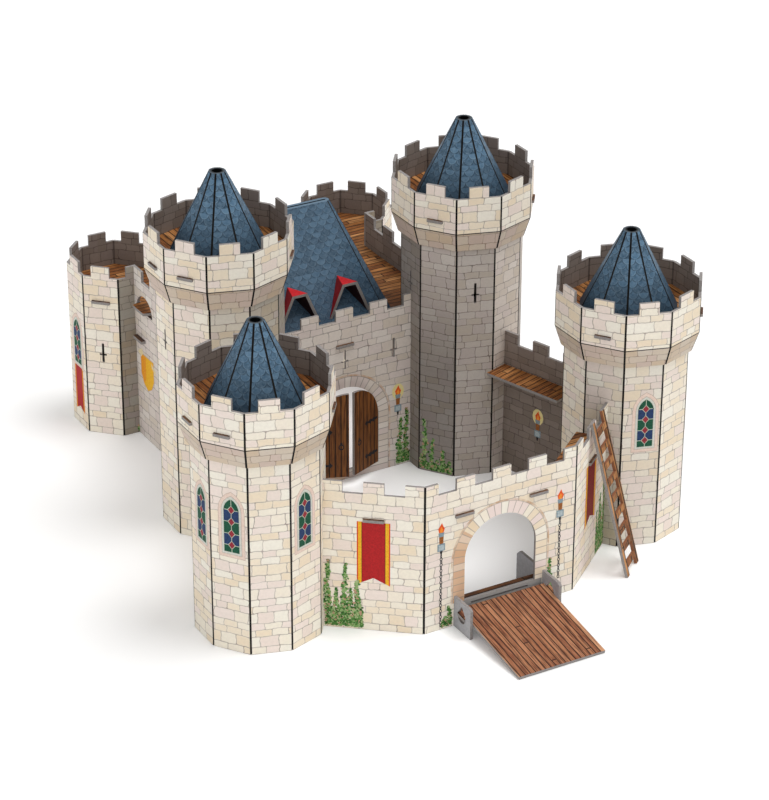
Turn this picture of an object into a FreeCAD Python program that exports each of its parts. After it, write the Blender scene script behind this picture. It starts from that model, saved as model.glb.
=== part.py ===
import FreeCAD, Part
import math
import os

# Folded card castle, built flat-packed: folded wall sheets hooked into ten-sided towers, boards with
# tabs as decks and walks, folded roofs that rest on the decks, a drawbridge hung in two brackets.
# Millimetres. +Z is up and -Y is the gate side. The origin is on the floor, under the middle of the
# keep's front wall. Face and corner directions are angles from -Y, positive towards +X.

# Card and joints
CARD = 3.0
FIT = 0.2
FOLD_GROOVE_WIDTH = 2.0
FOLD_GROOVE_DEPTH = 1.0
TAB_WIDTH = 20.0
TAB_PROUD = 2.5
HOOK_HEIGHT = 20.0
HOOK_REACH = 4.0
HOOK_LEVELS = (0.22, 0.72)

# Battlements
MERLON_WIDTH = 20.0
MERLON_PITCH = 40.0
MERLON_HEIGHT = 12.0
MERLON_LEAST = 4.0

# Towers
TOWER_SIDES = 10
TOWER_FACE = 40.0
LOW_TOWER_TOP = 262.0
HIGH_TOWER_TOP = 320.0
CROWN_OVERHANG = 10.3
PARAPET_HEIGHT = 38.0
CORBEL_HEIGHT = 21.4
CROWN_DECK_DROP = 25.2
CROWN_TAB_WIDTH = 16.5

# Tower roofs
CONE_RADIUS = 50.8
CONE_TOP_RADIUS = 8.7
CONE_HEIGHT = 84.2

# Turrets
TURRET_SIDES = 8
TURRET_FACE = 40.0

# Plan
KEEP_FRONT_SPAN = 157.0
KEEP_SIDE_SPAN = 136.0
CURTAIN_SPAN = 95.0
GATE_LENGTH = 168.0
WING_TURN = 39.0

# Wall heights up to the gaps of the battlements
FRONT_WALL_HEIGHT = 148.0
KEEP_WALL_HEIGHT = 185.0

# Decks and walks
KEEP_DECK_DROP = 27.0
WALK_DROP = 26.0
WALK_DEPTH = 30.0
WALK_END_GAP = 0.6
GATE_TAB_OFFSET = 41.5

# Gate
GATE_ARCH_WIDTH = 80.0
GATE_ARCH_SPRING = 69.0
GATE_SILL = 24.8
SILL_SLOT_WIDTH = 65.0
SILL_SLOT_HEIGHT = 2.0
SILL_SLOT_DROP = 3.5

# Drawbridge and its brackets
BRIDGE_HALF_GAP = 48.5
BRIDGE_SIDE_GAP = 0.5
BRIDGE_FRONT = 100.0
BRIDGE_REAR = 11.0
BRACKET_FRONT = 32.0
BRACKET_BACK = 45.0
BRACKET_HEIGHT = 33.0
BRACKET_CORNER = 5.0
HINGE_OUT = 16.0
HINGE_HEIGHT = 17.0
HINGE_HOLE_RADIUS = 7.0
HINGE_HOLE_TIP = 11.5
EAR_WIDTH = 13.0
EAR_PROUD = 1.0
THRESHOLD_DEPTH = 7.0

# Keep door
DOOR_WIDTH = 80.0
DOOR_SPRING = 67.5
DOOR_SILL = 10.3
DOOR_GAP = 0.4
DOOR_AJAR = 22.0

# Arrow slits and the balcony opening
SLIT_HEIGHT = 22.0
SLIT_WIDTH = 2.6
SLIT_BAR_WIDTH = 8.0
SLIT_BAR_HEIGHT = 2.0
SLIT_BAR_LEVEL = 8.0
KEEP_SLIT_FOOT = 129.0
KEEP_SLIT_OFFSET = 58.0
TOWER_SLIT_FOOT = 200.0
TURRET_SLIT_FOOT = 86.0
PEEP_HOLE = 4.0
PEEP_HOLE_LEVEL = 219.0
BALCONY_RADIUS = 19.0
BALCONY_FOOT = 151.0
BALCONY_FROM_TURRET = 23.0
BALCONY_REACH = 9.0
BALCONY_SIDE_GAP = 1.0
NOTCH_RADIUS = 5.5
NOTCH_LEVEL = 80.0

# Keep shelf, a short inner board on the left wall
SHELF_LENGTH = 60.0
SHELF_TAB_FROM_TURRET = 13.0
SHELF_TAB_PROUD = 5.0
SHELF_LEVEL = 119.0

# Keep roof
ROOF_BASE_HALF = 65.2
ROOF_BASE_CORNER = 12.5
ROOF_TOP_HALF = 40.2
ROOF_TOP_CORNER = 3.5
ROOF_FRONT_GAP = 14.0
ROOF_BASE_HALF_DEPTH = 97.5
ROOF_TOP_HALF_DEPTH = 5.0
ROOF_HEIGHT = 110.5

# Dormer hoods
DORMER_MIDDLE = -6.6
DORMER_OFFSET = 29.2
DORMER_FOOT_WIDTH = 48.0
DORMER_TOP_WIDTH = 17.3
DORMER_FRONT_RUN = 13.5
DORMER_POINT_RUN = 41.3
DORMER_TOP_RISE = 51.8

# Ladder
LADDER_WIDTH = 36.0
LADDER_LENGTH = 168.5
LADDER_RAIL = 6.0
LADDER_RUNG = 6.0
LADDER_RUNGS = 9
LADDER_FOOT = 8.0
LADDER_FOOT_OUT = 43.0
LADDER_ALONG = 40.6
LADDER_REST_GAP = 0.1

# Values worked out from the sizes above
TOWER_STEP = 360.0 / TOWER_SIDES
TURRET_STEP = 360.0 / TURRET_SIDES
TOWER_RADIUS = TOWER_FACE / 2 / math.sin(math.radians(TOWER_STEP / 2))
TOWER_FLAT = TOWER_FACE / 2 / math.tan(math.radians(TOWER_STEP / 2))
TURRET_RADIUS = TURRET_FACE / 2 / math.sin(math.radians(TURRET_STEP / 2))
TURRET_FLAT = TURRET_FACE / 2 / math.tan(math.radians(TURRET_STEP / 2))
CROWN_RADIUS = TOWER_RADIUS + CROWN_OVERHANG
CROWN_FLAT = CROWN_RADIUS * math.cos(math.radians(TOWER_STEP / 2))
HALF = CARD / 2
KEEP_HALF = KEEP_FRONT_SPAN / 2 + TOWER_FLAT
KEEP_DEPTH = TOWER_RADIUS + KEEP_SIDE_SPAN + TURRET_FLAT
CURTAIN_ANGLE = TOWER_STEP / 2
CURTAIN_RUN = CURTAIN_SPAN + 2 * TOWER_FLAT
WARD_HALF = KEEP_HALF + CURTAIN_RUN * math.sin(math.radians(CURTAIN_ANGLE))
WARD_FRONT = -CURTAIN_RUN * math.cos(math.radians(CURTAIN_ANGLE))
WING_RUN = (WARD_HALF - GATE_LENGTH / 2) / math.cos(math.radians(WING_TURN))
GATE_FRONT = WARD_FRONT - WING_RUN * math.sin(math.radians(WING_TURN))
KEEP_DECK = KEEP_WALL_HEIGHT - KEEP_DECK_DROP
WALK_LEVEL = FRONT_WALL_HEIGHT - WALK_DROP
ROOF_MIDDLE = ROOF_FRONT_GAP + ROOF_BASE_HALF_DEPTH

TOWER_PLACES = {
    "front_left": (-WARD_HALF, WARD_FRONT),
    "front_right": (WARD_HALF, WARD_FRONT),
    "back_left": (-KEEP_HALF, 0.0),
    "back_right": (KEEP_HALF, 0.0),
}
TURRET_PLACES = {"left": (-KEEP_HALF, KEEP_DEPTH), "right": (KEEP_HALF, KEEP_DEPTH)}


def tower_top(name):
    """Level of the battlement gaps on a tower: the two front towers are the low ones."""
    return LOW_TOWER_TOP if name.startswith("front") else HIGH_TOWER_TOP


def heading(angle):
    """Unit vector in plan for an angle from -Y, positive towards +X."""
    return FreeCAD.Vector(math.sin(math.radians(angle)), -math.cos(math.radians(angle)), 0)


def face_from(points):
    """Flat face inside a closed run of points."""
    return Part.Face(Part.makePolygon(list(points) + [points[0]]))


def prism(plan, low, high):
    """Upright solid over a plan outline, from one level to another."""
    face = face_from([FreeCAD.Vector(p.x, p.y, low) for p in plan])
    return face.extrude(FreeCAD.Vector(0, 0, high - low))


def corners(place, sides, radius, level=0.0):
    """Corner points of a tower outline. A flat of the outline faces each joining wall."""
    step = 360.0 / sides
    centre = FreeCAD.Vector(place[0], place[1], level)
    turn = 0.0 if sides == TOWER_SIDES else step / 2
    return [centre + heading(turn + step * k) * radius for k in range(sides)]


def grooved(points, width=FOLD_GROOVE_WIDTH, depth=FOLD_GROOVE_DEPTH):
    """The same closed outline with a small V cut in at each corner, where the card is folded."""
    middle = sum(points, FreeCAD.Vector()) * (1.0 / len(points))
    outline = []
    for k, corner in enumerate(points):
        before = (points[k - 1] - corner).normalize()
        after = (points[(k + 1) % len(points)] - corner).normalize()
        inward = (middle - corner).normalize()
        outline += [corner + before * width / 2, corner + inward * depth, corner + after * width / 2]
    return outline


def loft(outlines):
    """Solid with flat sides through outlines at rising levels."""
    wires = [Part.makePolygon(list(points) + [points[0]]) for points in outlines]
    return Part.makeLoft(wires, True, True)


def solid_from(outlines):
    """Solid with flat faces, each given by its corner points."""
    return Part.makeSolid(Part.makeShell([face_from(points) for points in outlines]))


def plane_through(first, second, third, offset):
    """Unit normal and distance from the origin of the plane through three points, moved by an offset."""
    normal = (second - first).cross(third - first).normalize()
    return normal, normal.dot(first) + offset


def meet(*planes):
    """Point where three planes cross."""
    (n1, d1), (n2, d2), (n3, d3) = planes
    total = n2.cross(n3) * d1 + n3.cross(n1) * d2 + n1.cross(n2) * d3
    return total * (1.0 / n1.dot(n2.cross(n3)))


def inset(points, distances):
    """Closed outline with each side moved inwards by its own distance, at the level of the points."""
    level = points[0].z
    area = sum(p.x * q.y - q.x * p.y for p, q in zip(points, points[1:] + points[:1]))
    side = 1.0 if area > 0 else -1.0
    lines = []
    for k, start in enumerate(points):
        along = (points[(k + 1) % len(points)] - start).normalize()
        inward = FreeCAD.Vector(-along.y, along.x, 0) * side
        lines.append((start + inward * distances[k], along))
    moved = []
    for k, (base, along) in enumerate(lines):
        other, across = lines[k - 1]
        gap = base - other
        run = (gap.x * along.y - gap.y * along.x) / (across.x * along.y - across.y * along.x)
        moved.append(FreeCAD.Vector(other.x + across.x * run, other.y + across.y * run, level))
    return moved


def mitred(points, distance):
    """Open plan path moved to its right-hand side by a distance, square at its two ends."""
    sides = []
    for start, end in zip(points, points[1:]):
        along = (end - start).normalize()
        sides.append((FreeCAD.Vector(along.y, -along.x, 0), along))
    moved = [points[0] + sides[0][0] * distance]
    for point, (first, _), (second, _) in zip(points[1:-1], sides, sides[1:]):
        bisector = (first + second).normalize()
        moved.append(point + bisector * (distance / bisector.dot(first)))
    moved.append(points[-1] + sides[-1][0] * distance)
    return moved


class Run:
    """A straight stretch of wall in plan: lengths go along it and outwards is its right-hand side."""

    def __init__(self, start, end):
        self.start = FreeCAD.Vector(start.x, start.y, 0)
        self.length = (end - start).Length
        self.along = (end - start).normalize()
        self.out = FreeCAD.Vector(self.along.y, -self.along.x, 0)

    def point(self, along, out, level=0.0):
        return self.start + self.along * along + self.out * out + FreeCAD.Vector(0, 0, level)

    def box(self, along, out, levels):
        """Block between two lengths along the wall, two distances outwards and two levels."""
        plan = [self.point(along[0], out[0]), self.point(along[1], out[0])]
        plan += [self.point(along[1], out[1]), self.point(along[0], out[1])]
        return prism(plan, *levels)

    def cutter(self, outline, reach):
        """Solid right through the wall behind an outline given as (along, level) points."""
        points = [self.point(a, -reach, z) for a, z in outline]
        return face_from(points).extrude(self.out * 2 * reach)

    def arch(self, middle, half, foot, spring, reach):
        """Solid through the wall shaped as a round-headed opening."""
        low_left = self.point(middle - half, -reach, foot)
        low_right = self.point(middle + half, -reach, foot)
        left = self.point(middle - half, -reach, spring)
        right = self.point(middle + half, -reach, spring)
        crown = self.point(middle, -reach, spring + half)
        edges = [Part.makeLine(low_left, low_right), Part.Arc(right, crown, left).toShape()]
        if spring > foot:
            edges += [Part.makeLine(low_right, right), Part.makeLine(left, low_left)]
        wire = Part.Wire(Part.__sortEdges__(edges))
        return Part.Face(wire).extrude(self.out * 2 * reach)


def merlon_spans(length, shift=0.0):
    """Stretches of a wall's top that stand up as merlons, in step about its middle."""
    spans = []
    count = int(length / MERLON_PITCH) + 2
    for k in range(-count, count + 1):
        middle = length / 2 + (k + shift) * MERLON_PITCH
        low = max(0.0, middle - MERLON_WIDTH / 2)
        high = min(length, middle + MERLON_WIDTH / 2)
        if high - low > MERLON_LEAST:
            low = 0.0 if low < MERLON_WIDTH / 2 else low
            high = length if length - high < MERLON_WIDTH / 2 else high
            spans.append((low, high))
    return spans


def battlement_cuts(run, top, shift=0.0):
    """Blocks that cut the gaps between merlons out of a wall's top."""
    spans = merlon_spans(run.length, shift)
    edges = [0.0] + [edge for span in spans for edge in span] + [run.length]
    cuts = []
    for low, high in zip(edges[0::2], edges[1::2]):
        if high - low > FIT:
            reach = (low - (0.0 if low > 0 else CARD), high + (0.0 if high < run.length else CARD))
            cuts.append(run.box(reach, (-CARD, CARD), (top, top + MERLON_HEIGHT + CARD)))
    return cuts


def arrow_slit(run, middle, foot):
    """Cross-shaped arrow slit right through a wall."""
    upright = run.box((middle - SLIT_WIDTH / 2, middle + SLIT_WIDTH / 2), (-CARD * 2, CARD * 2),
                      (foot, foot + SLIT_HEIGHT))
    bar = run.box((middle - SLIT_BAR_WIDTH / 2, middle + SLIT_BAR_WIDTH / 2), (-CARD * 2, CARD * 2),
                  (foot + SLIT_BAR_LEVEL, foot + SLIT_BAR_LEVEL + SLIT_BAR_HEIGHT))
    return upright.fuse(bar)


def tab(run, middle, level, inner=0.0, width=TAB_WIDTH, proud=TAB_PROUD):
    """Board tab that reaches out through a wall, its top at a level."""
    ends = (middle - width / 2, middle + width / 2)
    return run.box(ends, (-HALF - FIT - inner, HALF + proud), (level - CARD, level))


def tab_slot(run, middle, level, width=TAB_WIDTH):
    """Slot in a wall for a board's tab."""
    return run.box((middle - width / 2 - FIT, middle + width / 2 + FIT), (-CARD, CARD),
                   (level - CARD - FIT, level + FIT))


def hook_levels(height):
    """Foot levels of the two hooks at each end of a wall."""
    return [height * share for share in HOOK_LEVELS]


def hooks(run, height):
    """The hooks at both ends of a wall, which reach through the tower faces."""
    parts = []
    for foot in hook_levels(height):
        parts.append(run.box((-HOOK_REACH - FIT, CARD), (-HALF, HALF), (foot, foot + HOOK_HEIGHT)))
        parts.append(run.box((run.length - CARD, run.length + HOOK_REACH + FIT), (-HALF, HALF),
                             (foot, foot + HOOK_HEIGHT)))
    return parts


def hook_slots(run, height):
    """Slots in the towers at both ends of a wall, round its hooks."""
    side = HALF + FIT
    reach = HOOK_REACH + CARD
    slots = []
    for foot in hook_levels(height):
        levels = (foot - FIT, foot + HOOK_HEIGHT + FIT)
        slots.append(run.box((-reach, CARD), (-side, side), levels))
        slots.append(run.box((run.length - CARD, run.length + reach), (-side, side), levels))
    return slots


def between(first, first_flat, second, second_flat):
    """Wall run between two towers, from face to face with a small clearance."""
    start = FreeCAD.Vector(first[0], first[1], 0)
    end = FreeCAD.Vector(second[0], second[1], 0)
    along = (end - start).normalize()
    return Run(start + along * (first_flat + FIT), end - along * (second_flat + FIT))


def face_run(place, flat, width, angle):
    """Run along one face of a tower, with outwards away from the tower."""
    middle = FreeCAD.Vector(place[0], place[1], 0) + heading(angle) * (flat - HALF)
    along = FreeCAD.Vector(math.cos(math.radians(angle)), math.sin(math.radians(angle)), 0)
    return Run(middle - along * width / 2, middle + along * width / 2)


TOWERS = TOWER_PLACES
KEEP_FRONT = between(TOWERS["back_left"], TOWER_FLAT, TOWERS["back_right"], TOWER_FLAT)
KEEP_RIGHT = between(TOWERS["back_right"], TOWER_RADIUS, TURRET_PLACES["right"], TURRET_FLAT)
KEEP_BACK = between(TURRET_PLACES["right"], TURRET_FLAT, TURRET_PLACES["left"], TURRET_FLAT)
KEEP_LEFT = between(TURRET_PLACES["left"], TURRET_FLAT, TOWERS["back_left"], TOWER_RADIUS)
CURTAIN_LEFT = between(TOWERS["back_left"], TOWER_FLAT, TOWERS["front_left"], TOWER_FLAT)
CURTAIN_RIGHT = between(TOWERS["front_right"], TOWER_FLAT, TOWERS["back_right"], TOWER_FLAT)

LEFT_FOLD = FreeCAD.Vector(-GATE_LENGTH / 2, GATE_FRONT, 0)
RIGHT_FOLD = FreeCAD.Vector(GATE_LENGTH / 2, GATE_FRONT, 0)
LEFT_WING_RUN = between(TOWERS["front_left"], TOWER_FLAT, (LEFT_FOLD.x, LEFT_FOLD.y), -FIT)
GATE_RUN = Run(LEFT_FOLD, RIGHT_FOLD)
RIGHT_WING_RUN = between((RIGHT_FOLD.x, RIGHT_FOLD.y), -FIT, TOWERS["front_right"], TOWER_FLAT)
GATE_PATH = [LEFT_WING_RUN.start, LEFT_FOLD, RIGHT_FOLD, RIGHT_WING_RUN.point(RIGHT_WING_RUN.length, 0)]

SIDE_SHIFT = 0.5
KEEP_SIDES = {
    "front": (KEEP_FRONT, 0.0, [0.0]),
    "right": (KEEP_RIGHT, SIDE_SHIFT, [0.0]),
    "back": (KEEP_BACK, 0.0, [-MERLON_PITCH, MERLON_PITCH]),
    "left": (KEEP_LEFT, SIDE_SHIFT, [0.0]),
}
CROWN_TAB_ANGLES = {
    "front_left": (-90.0, -54.0, 54.0),
    "front_right": (-54.0, 54.0, 162.0),
    "back_left": (-90.0, -54.0, 54.0),
    "back_right": (-54.0, 54.0, 162.0),
}
SLIT_FACES = {"front_left": (), "front_right": (), "back_left": (-90.0, 90.0), "back_right": (-90.0, -18.0)}


def tower_body(name):
    """Ten-sided folded tube, open below, with slots for the walls and its arrow slits."""
    place = TOWERS[name]
    top = tower_top(name) - CROWN_DECK_DROP - CARD
    outer = prism(grooved(corners(place, TOWER_SIDES, TOWER_RADIUS)), 0.0, top)
    thin = CARD / math.cos(math.radians(TOWER_STEP / 2))
    inner = prism(corners(place, TOWER_SIDES, TOWER_RADIUS - thin), -1.0, top + 1.0)
    cuts = [inner]
    if name == "back_left":
        cuts += hook_slots(KEEP_FRONT, KEEP_WALL_HEIGHT)[0::2]
        cuts += hook_slots(KEEP_LEFT, KEEP_WALL_HEIGHT)[1::2]
        cuts += hook_slots(CURTAIN_LEFT, FRONT_WALL_HEIGHT)[0::2]
    elif name == "back_right":
        cuts += hook_slots(KEEP_FRONT, KEEP_WALL_HEIGHT)[1::2]
        cuts += hook_slots(KEEP_RIGHT, KEEP_WALL_HEIGHT)[0::2]
        cuts += hook_slots(CURTAIN_RIGHT, FRONT_WALL_HEIGHT)[1::2]
    elif name == "front_left":
        cuts += hook_slots(CURTAIN_LEFT, FRONT_WALL_HEIGHT)[1::2]
        cuts += hook_slots(LEFT_WING_RUN, FRONT_WALL_HEIGHT)[0::2]
    else:
        cuts += hook_slots(CURTAIN_RIGHT, FRONT_WALL_HEIGHT)[0::2]
        cuts += hook_slots(RIGHT_WING_RUN, FRONT_WALL_HEIGHT)[1::2]
    for angle in SLIT_FACES[name]:
        face = face_run(place, TOWER_FLAT, TOWER_FACE, angle)
        cuts.append(arrow_slit(face, TOWER_FACE / 2, TOWER_SLIT_FOOT))
    if name == "back_left":
        face = face_run(place, TOWER_FLAT, TOWER_FACE, -CURTAIN_ANGLE)
        sides = (TOWER_FACE / 2 - PEEP_HOLE / 2, TOWER_FACE / 2 + PEEP_HOLE / 2)
        cuts.append(face.box(sides, (-CARD, CARD), (PEEP_HOLE_LEVEL - PEEP_HOLE, PEEP_HOLE_LEVEL)))
    return outer.cut(cuts)


def tower_crown(name):
    """Folded ring: a parapet with merlons above, and a corbel that leans in to the tower below."""
    place = TOWERS[name]
    top = tower_top(name)
    shelf = top - PARAPET_HEIGHT
    foot = shelf - CORBEL_HEIGHT
    thin = CARD / math.cos(math.radians(TOWER_STEP / 2))
    neck = TOWER_RADIUS + FIT
    outer = loft([grooved(corners(place, TOWER_SIDES, neck + thin, foot)),
                  grooved(corners(place, TOWER_SIDES, CROWN_RADIUS, shelf)),
                  grooved(corners(place, TOWER_SIDES, CROWN_RADIUS, top + MERLON_HEIGHT))])
    inner = loft([corners(place, TOWER_SIDES, neck, foot),
                  corners(place, TOWER_SIDES, CROWN_RADIUS - thin, shelf),
                  corners(place, TOWER_SIDES, CROWN_RADIUS - thin, top + MERLON_HEIGHT)])
    cuts = [inner]
    width = 2 * CROWN_RADIUS * math.sin(math.radians(TOWER_STEP / 2))
    edge = (width - MERLON_WIDTH) / 2
    for k in range(TOWER_SIDES):
        face = face_run(place, CROWN_FLAT, width, TOWER_STEP * (k + 0.5))
        levels = (top, top + MERLON_HEIGHT + CARD)
        cuts.append(face.box((-CARD, edge), (-2 * CARD, CARD), levels))
        cuts.append(face.box((width - edge, width + CARD), (-2 * CARD, CARD), levels))
    for angle in CROWN_TAB_ANGLES[name]:
        face = face_run(place, CROWN_FLAT, width, angle)
        cuts.append(tab_slot(face, width / 2, top - CROWN_DECK_DROP, CROWN_TAB_WIDTH))
    return outer.cut(cuts)


def tower_deck(name):
    """Ten-sided board on the tower's rim, with tabs out through the parapet."""
    place = TOWERS[name]
    level = tower_top(name) - CROWN_DECK_DROP
    thin = (CARD + FIT) / math.cos(math.radians(TOWER_STEP / 2))
    board = prism(corners(place, TOWER_SIDES, CROWN_RADIUS - thin), level - CARD, level)
    width = 2 * CROWN_RADIUS * math.sin(math.radians(TOWER_STEP / 2))
    tabs = [tab(face_run(place, CROWN_FLAT, width, angle), width / 2, level, CARD, CROWN_TAB_WIDTH)
            for angle in CROWN_TAB_ANGLES[name]]
    return board.fuse(tabs).removeSplitter()


def tower_roof(name):
    """Ten-sided folded roof with an open point, standing on the deck inside the parapet."""
    place = TOWERS[name]
    foot = tower_top(name) - CROWN_DECK_DROP
    lean = math.atan2(CONE_RADIUS - CONE_TOP_RADIUS, CONE_HEIGHT)
    thin = CARD / math.cos(lean) / math.cos(math.radians(TOWER_STEP / 2))
    groove = FOLD_GROOVE_WIDTH / 2
    outer = loft([grooved(corners(place, TOWER_SIDES, CONE_RADIUS, foot), groove * 2),
                  grooved(corners(place, TOWER_SIDES, CONE_TOP_RADIUS, foot + CONE_HEIGHT), groove)])
    inner = loft([corners(place, TOWER_SIDES, CONE_RADIUS - thin, foot),
                  corners(place, TOWER_SIDES, CONE_TOP_RADIUS - thin, foot + CONE_HEIGHT)])
    return outer.cut(inner)


def turret_body(name):
    """Eight-sided folded tube with merlons. Inside the keep it stops under the keep's deck."""
    place = TURRET_PLACES[name]
    top = KEEP_WALL_HEIGHT
    outer = prism(grooved(corners(place, TURRET_SIDES, TURRET_RADIUS)), 0.0, top + MERLON_HEIGHT)
    thin = CARD / math.cos(math.radians(TURRET_STEP / 2))
    inner = prism(corners(place, TURRET_SIDES, TURRET_RADIUS - thin), -1.0, top + MERLON_HEIGHT + 1.0)
    cuts = [inner]
    edge = (TURRET_FACE - MERLON_WIDTH) / 2
    for k in range(TURRET_SIDES):
        face = face_run(place, TURRET_FLAT, TURRET_FACE, TURRET_STEP * k)
        levels = (top, top + MERLON_HEIGHT + CARD)
        cuts.append(face.box((-CARD, edge), (-2 * CARD, CARD), levels))
        cuts.append(face.box((TURRET_FACE - edge, TURRET_FACE + CARD), (-2 * CARD, CARD), levels))
    side = 1.0 if name == "left" else -1.0
    inside = [FreeCAD.Vector(place[0] + side * x, place[1] - y, 0)
              for x, y in ((HALF, HALF), (HALF, TURRET_RADIUS * 2), (TURRET_RADIUS * 2, TURRET_RADIUS * 2),
                           (TURRET_RADIUS * 2, HALF))]
    cuts.append(prism(inside, KEEP_DECK - CARD, top + MERLON_HEIGHT + CARD))
    if name == "left":
        cuts += hook_slots(KEEP_BACK, KEEP_WALL_HEIGHT)[1::2]
        cuts += hook_slots(KEEP_LEFT, KEEP_WALL_HEIGHT)[0::2]
    else:
        cuts += hook_slots(KEEP_BACK, KEEP_WALL_HEIGHT)[0::2]
        cuts += hook_slots(KEEP_RIGHT, KEEP_WALL_HEIGHT)[1::2]
    outward = -TURRET_STEP if name == "left" else TURRET_STEP
    front_face = face_run(place, TURRET_FLAT, TURRET_FACE, outward)
    cuts.append(tab_slot(front_face, TURRET_FACE / 2, KEEP_DECK))
    cuts.append(arrow_slit(front_face, TURRET_FACE / 2, TURRET_SLIT_FOOT))
    back_face = face_run(place, TURRET_FLAT, TURRET_FACE, 180.0 - outward)
    cuts.append(tab_slot(back_face, TURRET_FACE / 2, KEEP_DECK))
    return outer.cut(cuts)


def turret_deck(name):
    """Eight-sided board inside the turret, with a tab out at the front and one at the back."""
    place = TURRET_PLACES[name]
    thin = (CARD + FIT) / math.cos(math.radians(TURRET_STEP / 2))
    board = prism(corners(place, TURRET_SIDES, TURRET_RADIUS - thin), KEEP_DECK - CARD, KEEP_DECK)
    outward = -TURRET_STEP if name == "left" else TURRET_STEP
    angles = (outward, 180.0 - outward)
    tabs = [tab(face_run(place, TURRET_FLAT, TURRET_FACE, angle), TURRET_FACE / 2, KEEP_DECK, CARD)
            for angle in angles]
    return board.fuse(tabs).removeSplitter()


def wall_sheet(run, height, shift=0.0):
    """Plain wall panel with merlons and end hooks."""
    panel = run.box((0.0, run.length), (-HALF, HALF), (0.0, height + MERLON_HEIGHT))
    panel = panel.cut(battlement_cuts(run, height, shift))
    return panel.fuse(hooks(run, height)).removeSplitter()


def spade_notch(run, end, side):
    """Pointed hand notch cut into a wall's end edge beside a tower."""
    deep = end + side * NOTCH_RADIUS
    points = [(end, NOTCH_LEVEL - NOTCH_RADIUS), (deep, NOTCH_LEVEL - NOTCH_RADIUS / 2),
              (deep, NOTCH_LEVEL + NOTCH_RADIUS / 2), (end, NOTCH_LEVEL + 2 * NOTCH_RADIUS)]
    return run.cutter(points, CARD)


def curtain_wall(side):
    """Side wall of the ward, with a slot for its walk and a notch beside the front tower."""
    run = CURTAIN_LEFT if side == "left" else CURTAIN_RIGHT
    panel = wall_sheet(run, FRONT_WALL_HEIGHT)
    end, way = (run.length, -1.0) if side == "left" else (0.0, 1.0)
    return panel.cut([tab_slot(run, run.length / 2, WALK_LEVEL), spade_notch(run, end, way)])


def curtain_walk(side):
    """Board behind a side wall's battlements."""
    run = CURTAIN_LEFT if side == "left" else CURTAIN_RIGHT
    board = run.box((WALK_END_GAP, run.length - WALK_END_GAP), (-WALK_DEPTH, -HALF - FIT),
                    (WALK_LEVEL - CARD, WALK_LEVEL))
    return board.fuse(tab(run, run.length / 2, WALK_LEVEL)).removeSplitter()


def gate_tabs():
    """Every tab of the gate walk as a run and its middle."""
    middle = GATE_LENGTH / 2
    return [(LEFT_WING_RUN, LEFT_WING_RUN.length / 2), (GATE_RUN, middle - GATE_TAB_OFFSET),
            (GATE_RUN, middle + GATE_TAB_OFFSET), (RIGHT_WING_RUN, RIGHT_WING_RUN.length / 2)]


def bracket_run(side):
    """Run along a bracket plate, from its back end to its front end."""
    x = side * (BRIDGE_HALF_GAP + HALF)
    back = FreeCAD.Vector(x, GATE_FRONT + BRACKET_BACK, 0)
    return Run(back, FreeCAD.Vector(x, GATE_FRONT - BRACKET_FRONT, 0))


def gate_wall():
    """One sheet folded twice: the gate panel and its two wings, with the arch and every slot."""
    outer = mitred(GATE_PATH, HALF)
    inner = mitred(GATE_PATH, -HALF)
    grooves = []
    for corner, first, second in zip(outer[1:-1], outer, outer[2:]):
        before = (first - corner).normalize()
        after = (second - corner).normalize()
        inward = FreeCAD.Vector(0, 1, 0)
        grooves.append([corner + before * FOLD_GROOVE_WIDTH / 2, corner + inward * FOLD_GROOVE_DEPTH,
                        corner + after * FOLD_GROOVE_WIDTH / 2])
    outline = [outer[0]] + grooves[0] + grooves[1] + [outer[3]] + inner[::-1]
    sheet = prism(outline, 0.0, FRONT_WALL_HEIGHT + MERLON_HEIGHT)
    cuts = []
    for run in (LEFT_WING_RUN, GATE_RUN, RIGHT_WING_RUN):
        cuts += battlement_cuts(run, FRONT_WALL_HEIGHT)
    cuts += [tab_slot(run, middle, WALK_LEVEL) for run, middle in gate_tabs()]
    middle = GATE_LENGTH / 2
    cuts.append(GATE_RUN.arch(middle, GATE_ARCH_WIDTH / 2, GATE_SILL, GATE_ARCH_SPRING, CARD))
    slot = (middle - SILL_SLOT_WIDTH / 2, middle + SILL_SLOT_WIDTH / 2)
    slot_top = GATE_SILL - SILL_SLOT_DROP
    cuts.append(GATE_RUN.box(slot, (-CARD, CARD), (slot_top - SILL_SLOT_HEIGHT, slot_top)))
    for side in (-1, 1):
        at = middle + side * (BRIDGE_HALF_GAP + HALF)
        ends = (at - HALF - FIT, at + HALF + FIT)
        cuts.append(GATE_RUN.box(ends, (-CARD, CARD), (-1.0, BRACKET_HEIGHT / 2)))
    adds = hooks(LEFT_WING_RUN, FRONT_WALL_HEIGHT)[0::2]
    adds += hooks(RIGHT_WING_RUN, FRONT_WALL_HEIGHT)[1::2]
    return sheet.cut(cuts).fuse(adds).removeSplitter()


def gate_walk():
    """One board behind the three panels of the gate wall."""
    outer = mitred(GATE_PATH, -HALF - FIT)
    inner = mitred(GATE_PATH, -WALK_DEPTH)
    first, last = LEFT_WING_RUN.along * WALK_END_GAP, RIGHT_WING_RUN.along * WALK_END_GAP
    outer[0], inner[0] = outer[0] + first, inner[0] + first
    outer[-1], inner[-1] = outer[-1] - last, inner[-1] - last
    board = prism(outer + inner[::-1], WALK_LEVEL - CARD, WALK_LEVEL)
    tabs = [tab(run, middle, WALK_LEVEL) for run, middle in gate_tabs()]
    return board.fuse(tabs).removeSplitter()


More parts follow.
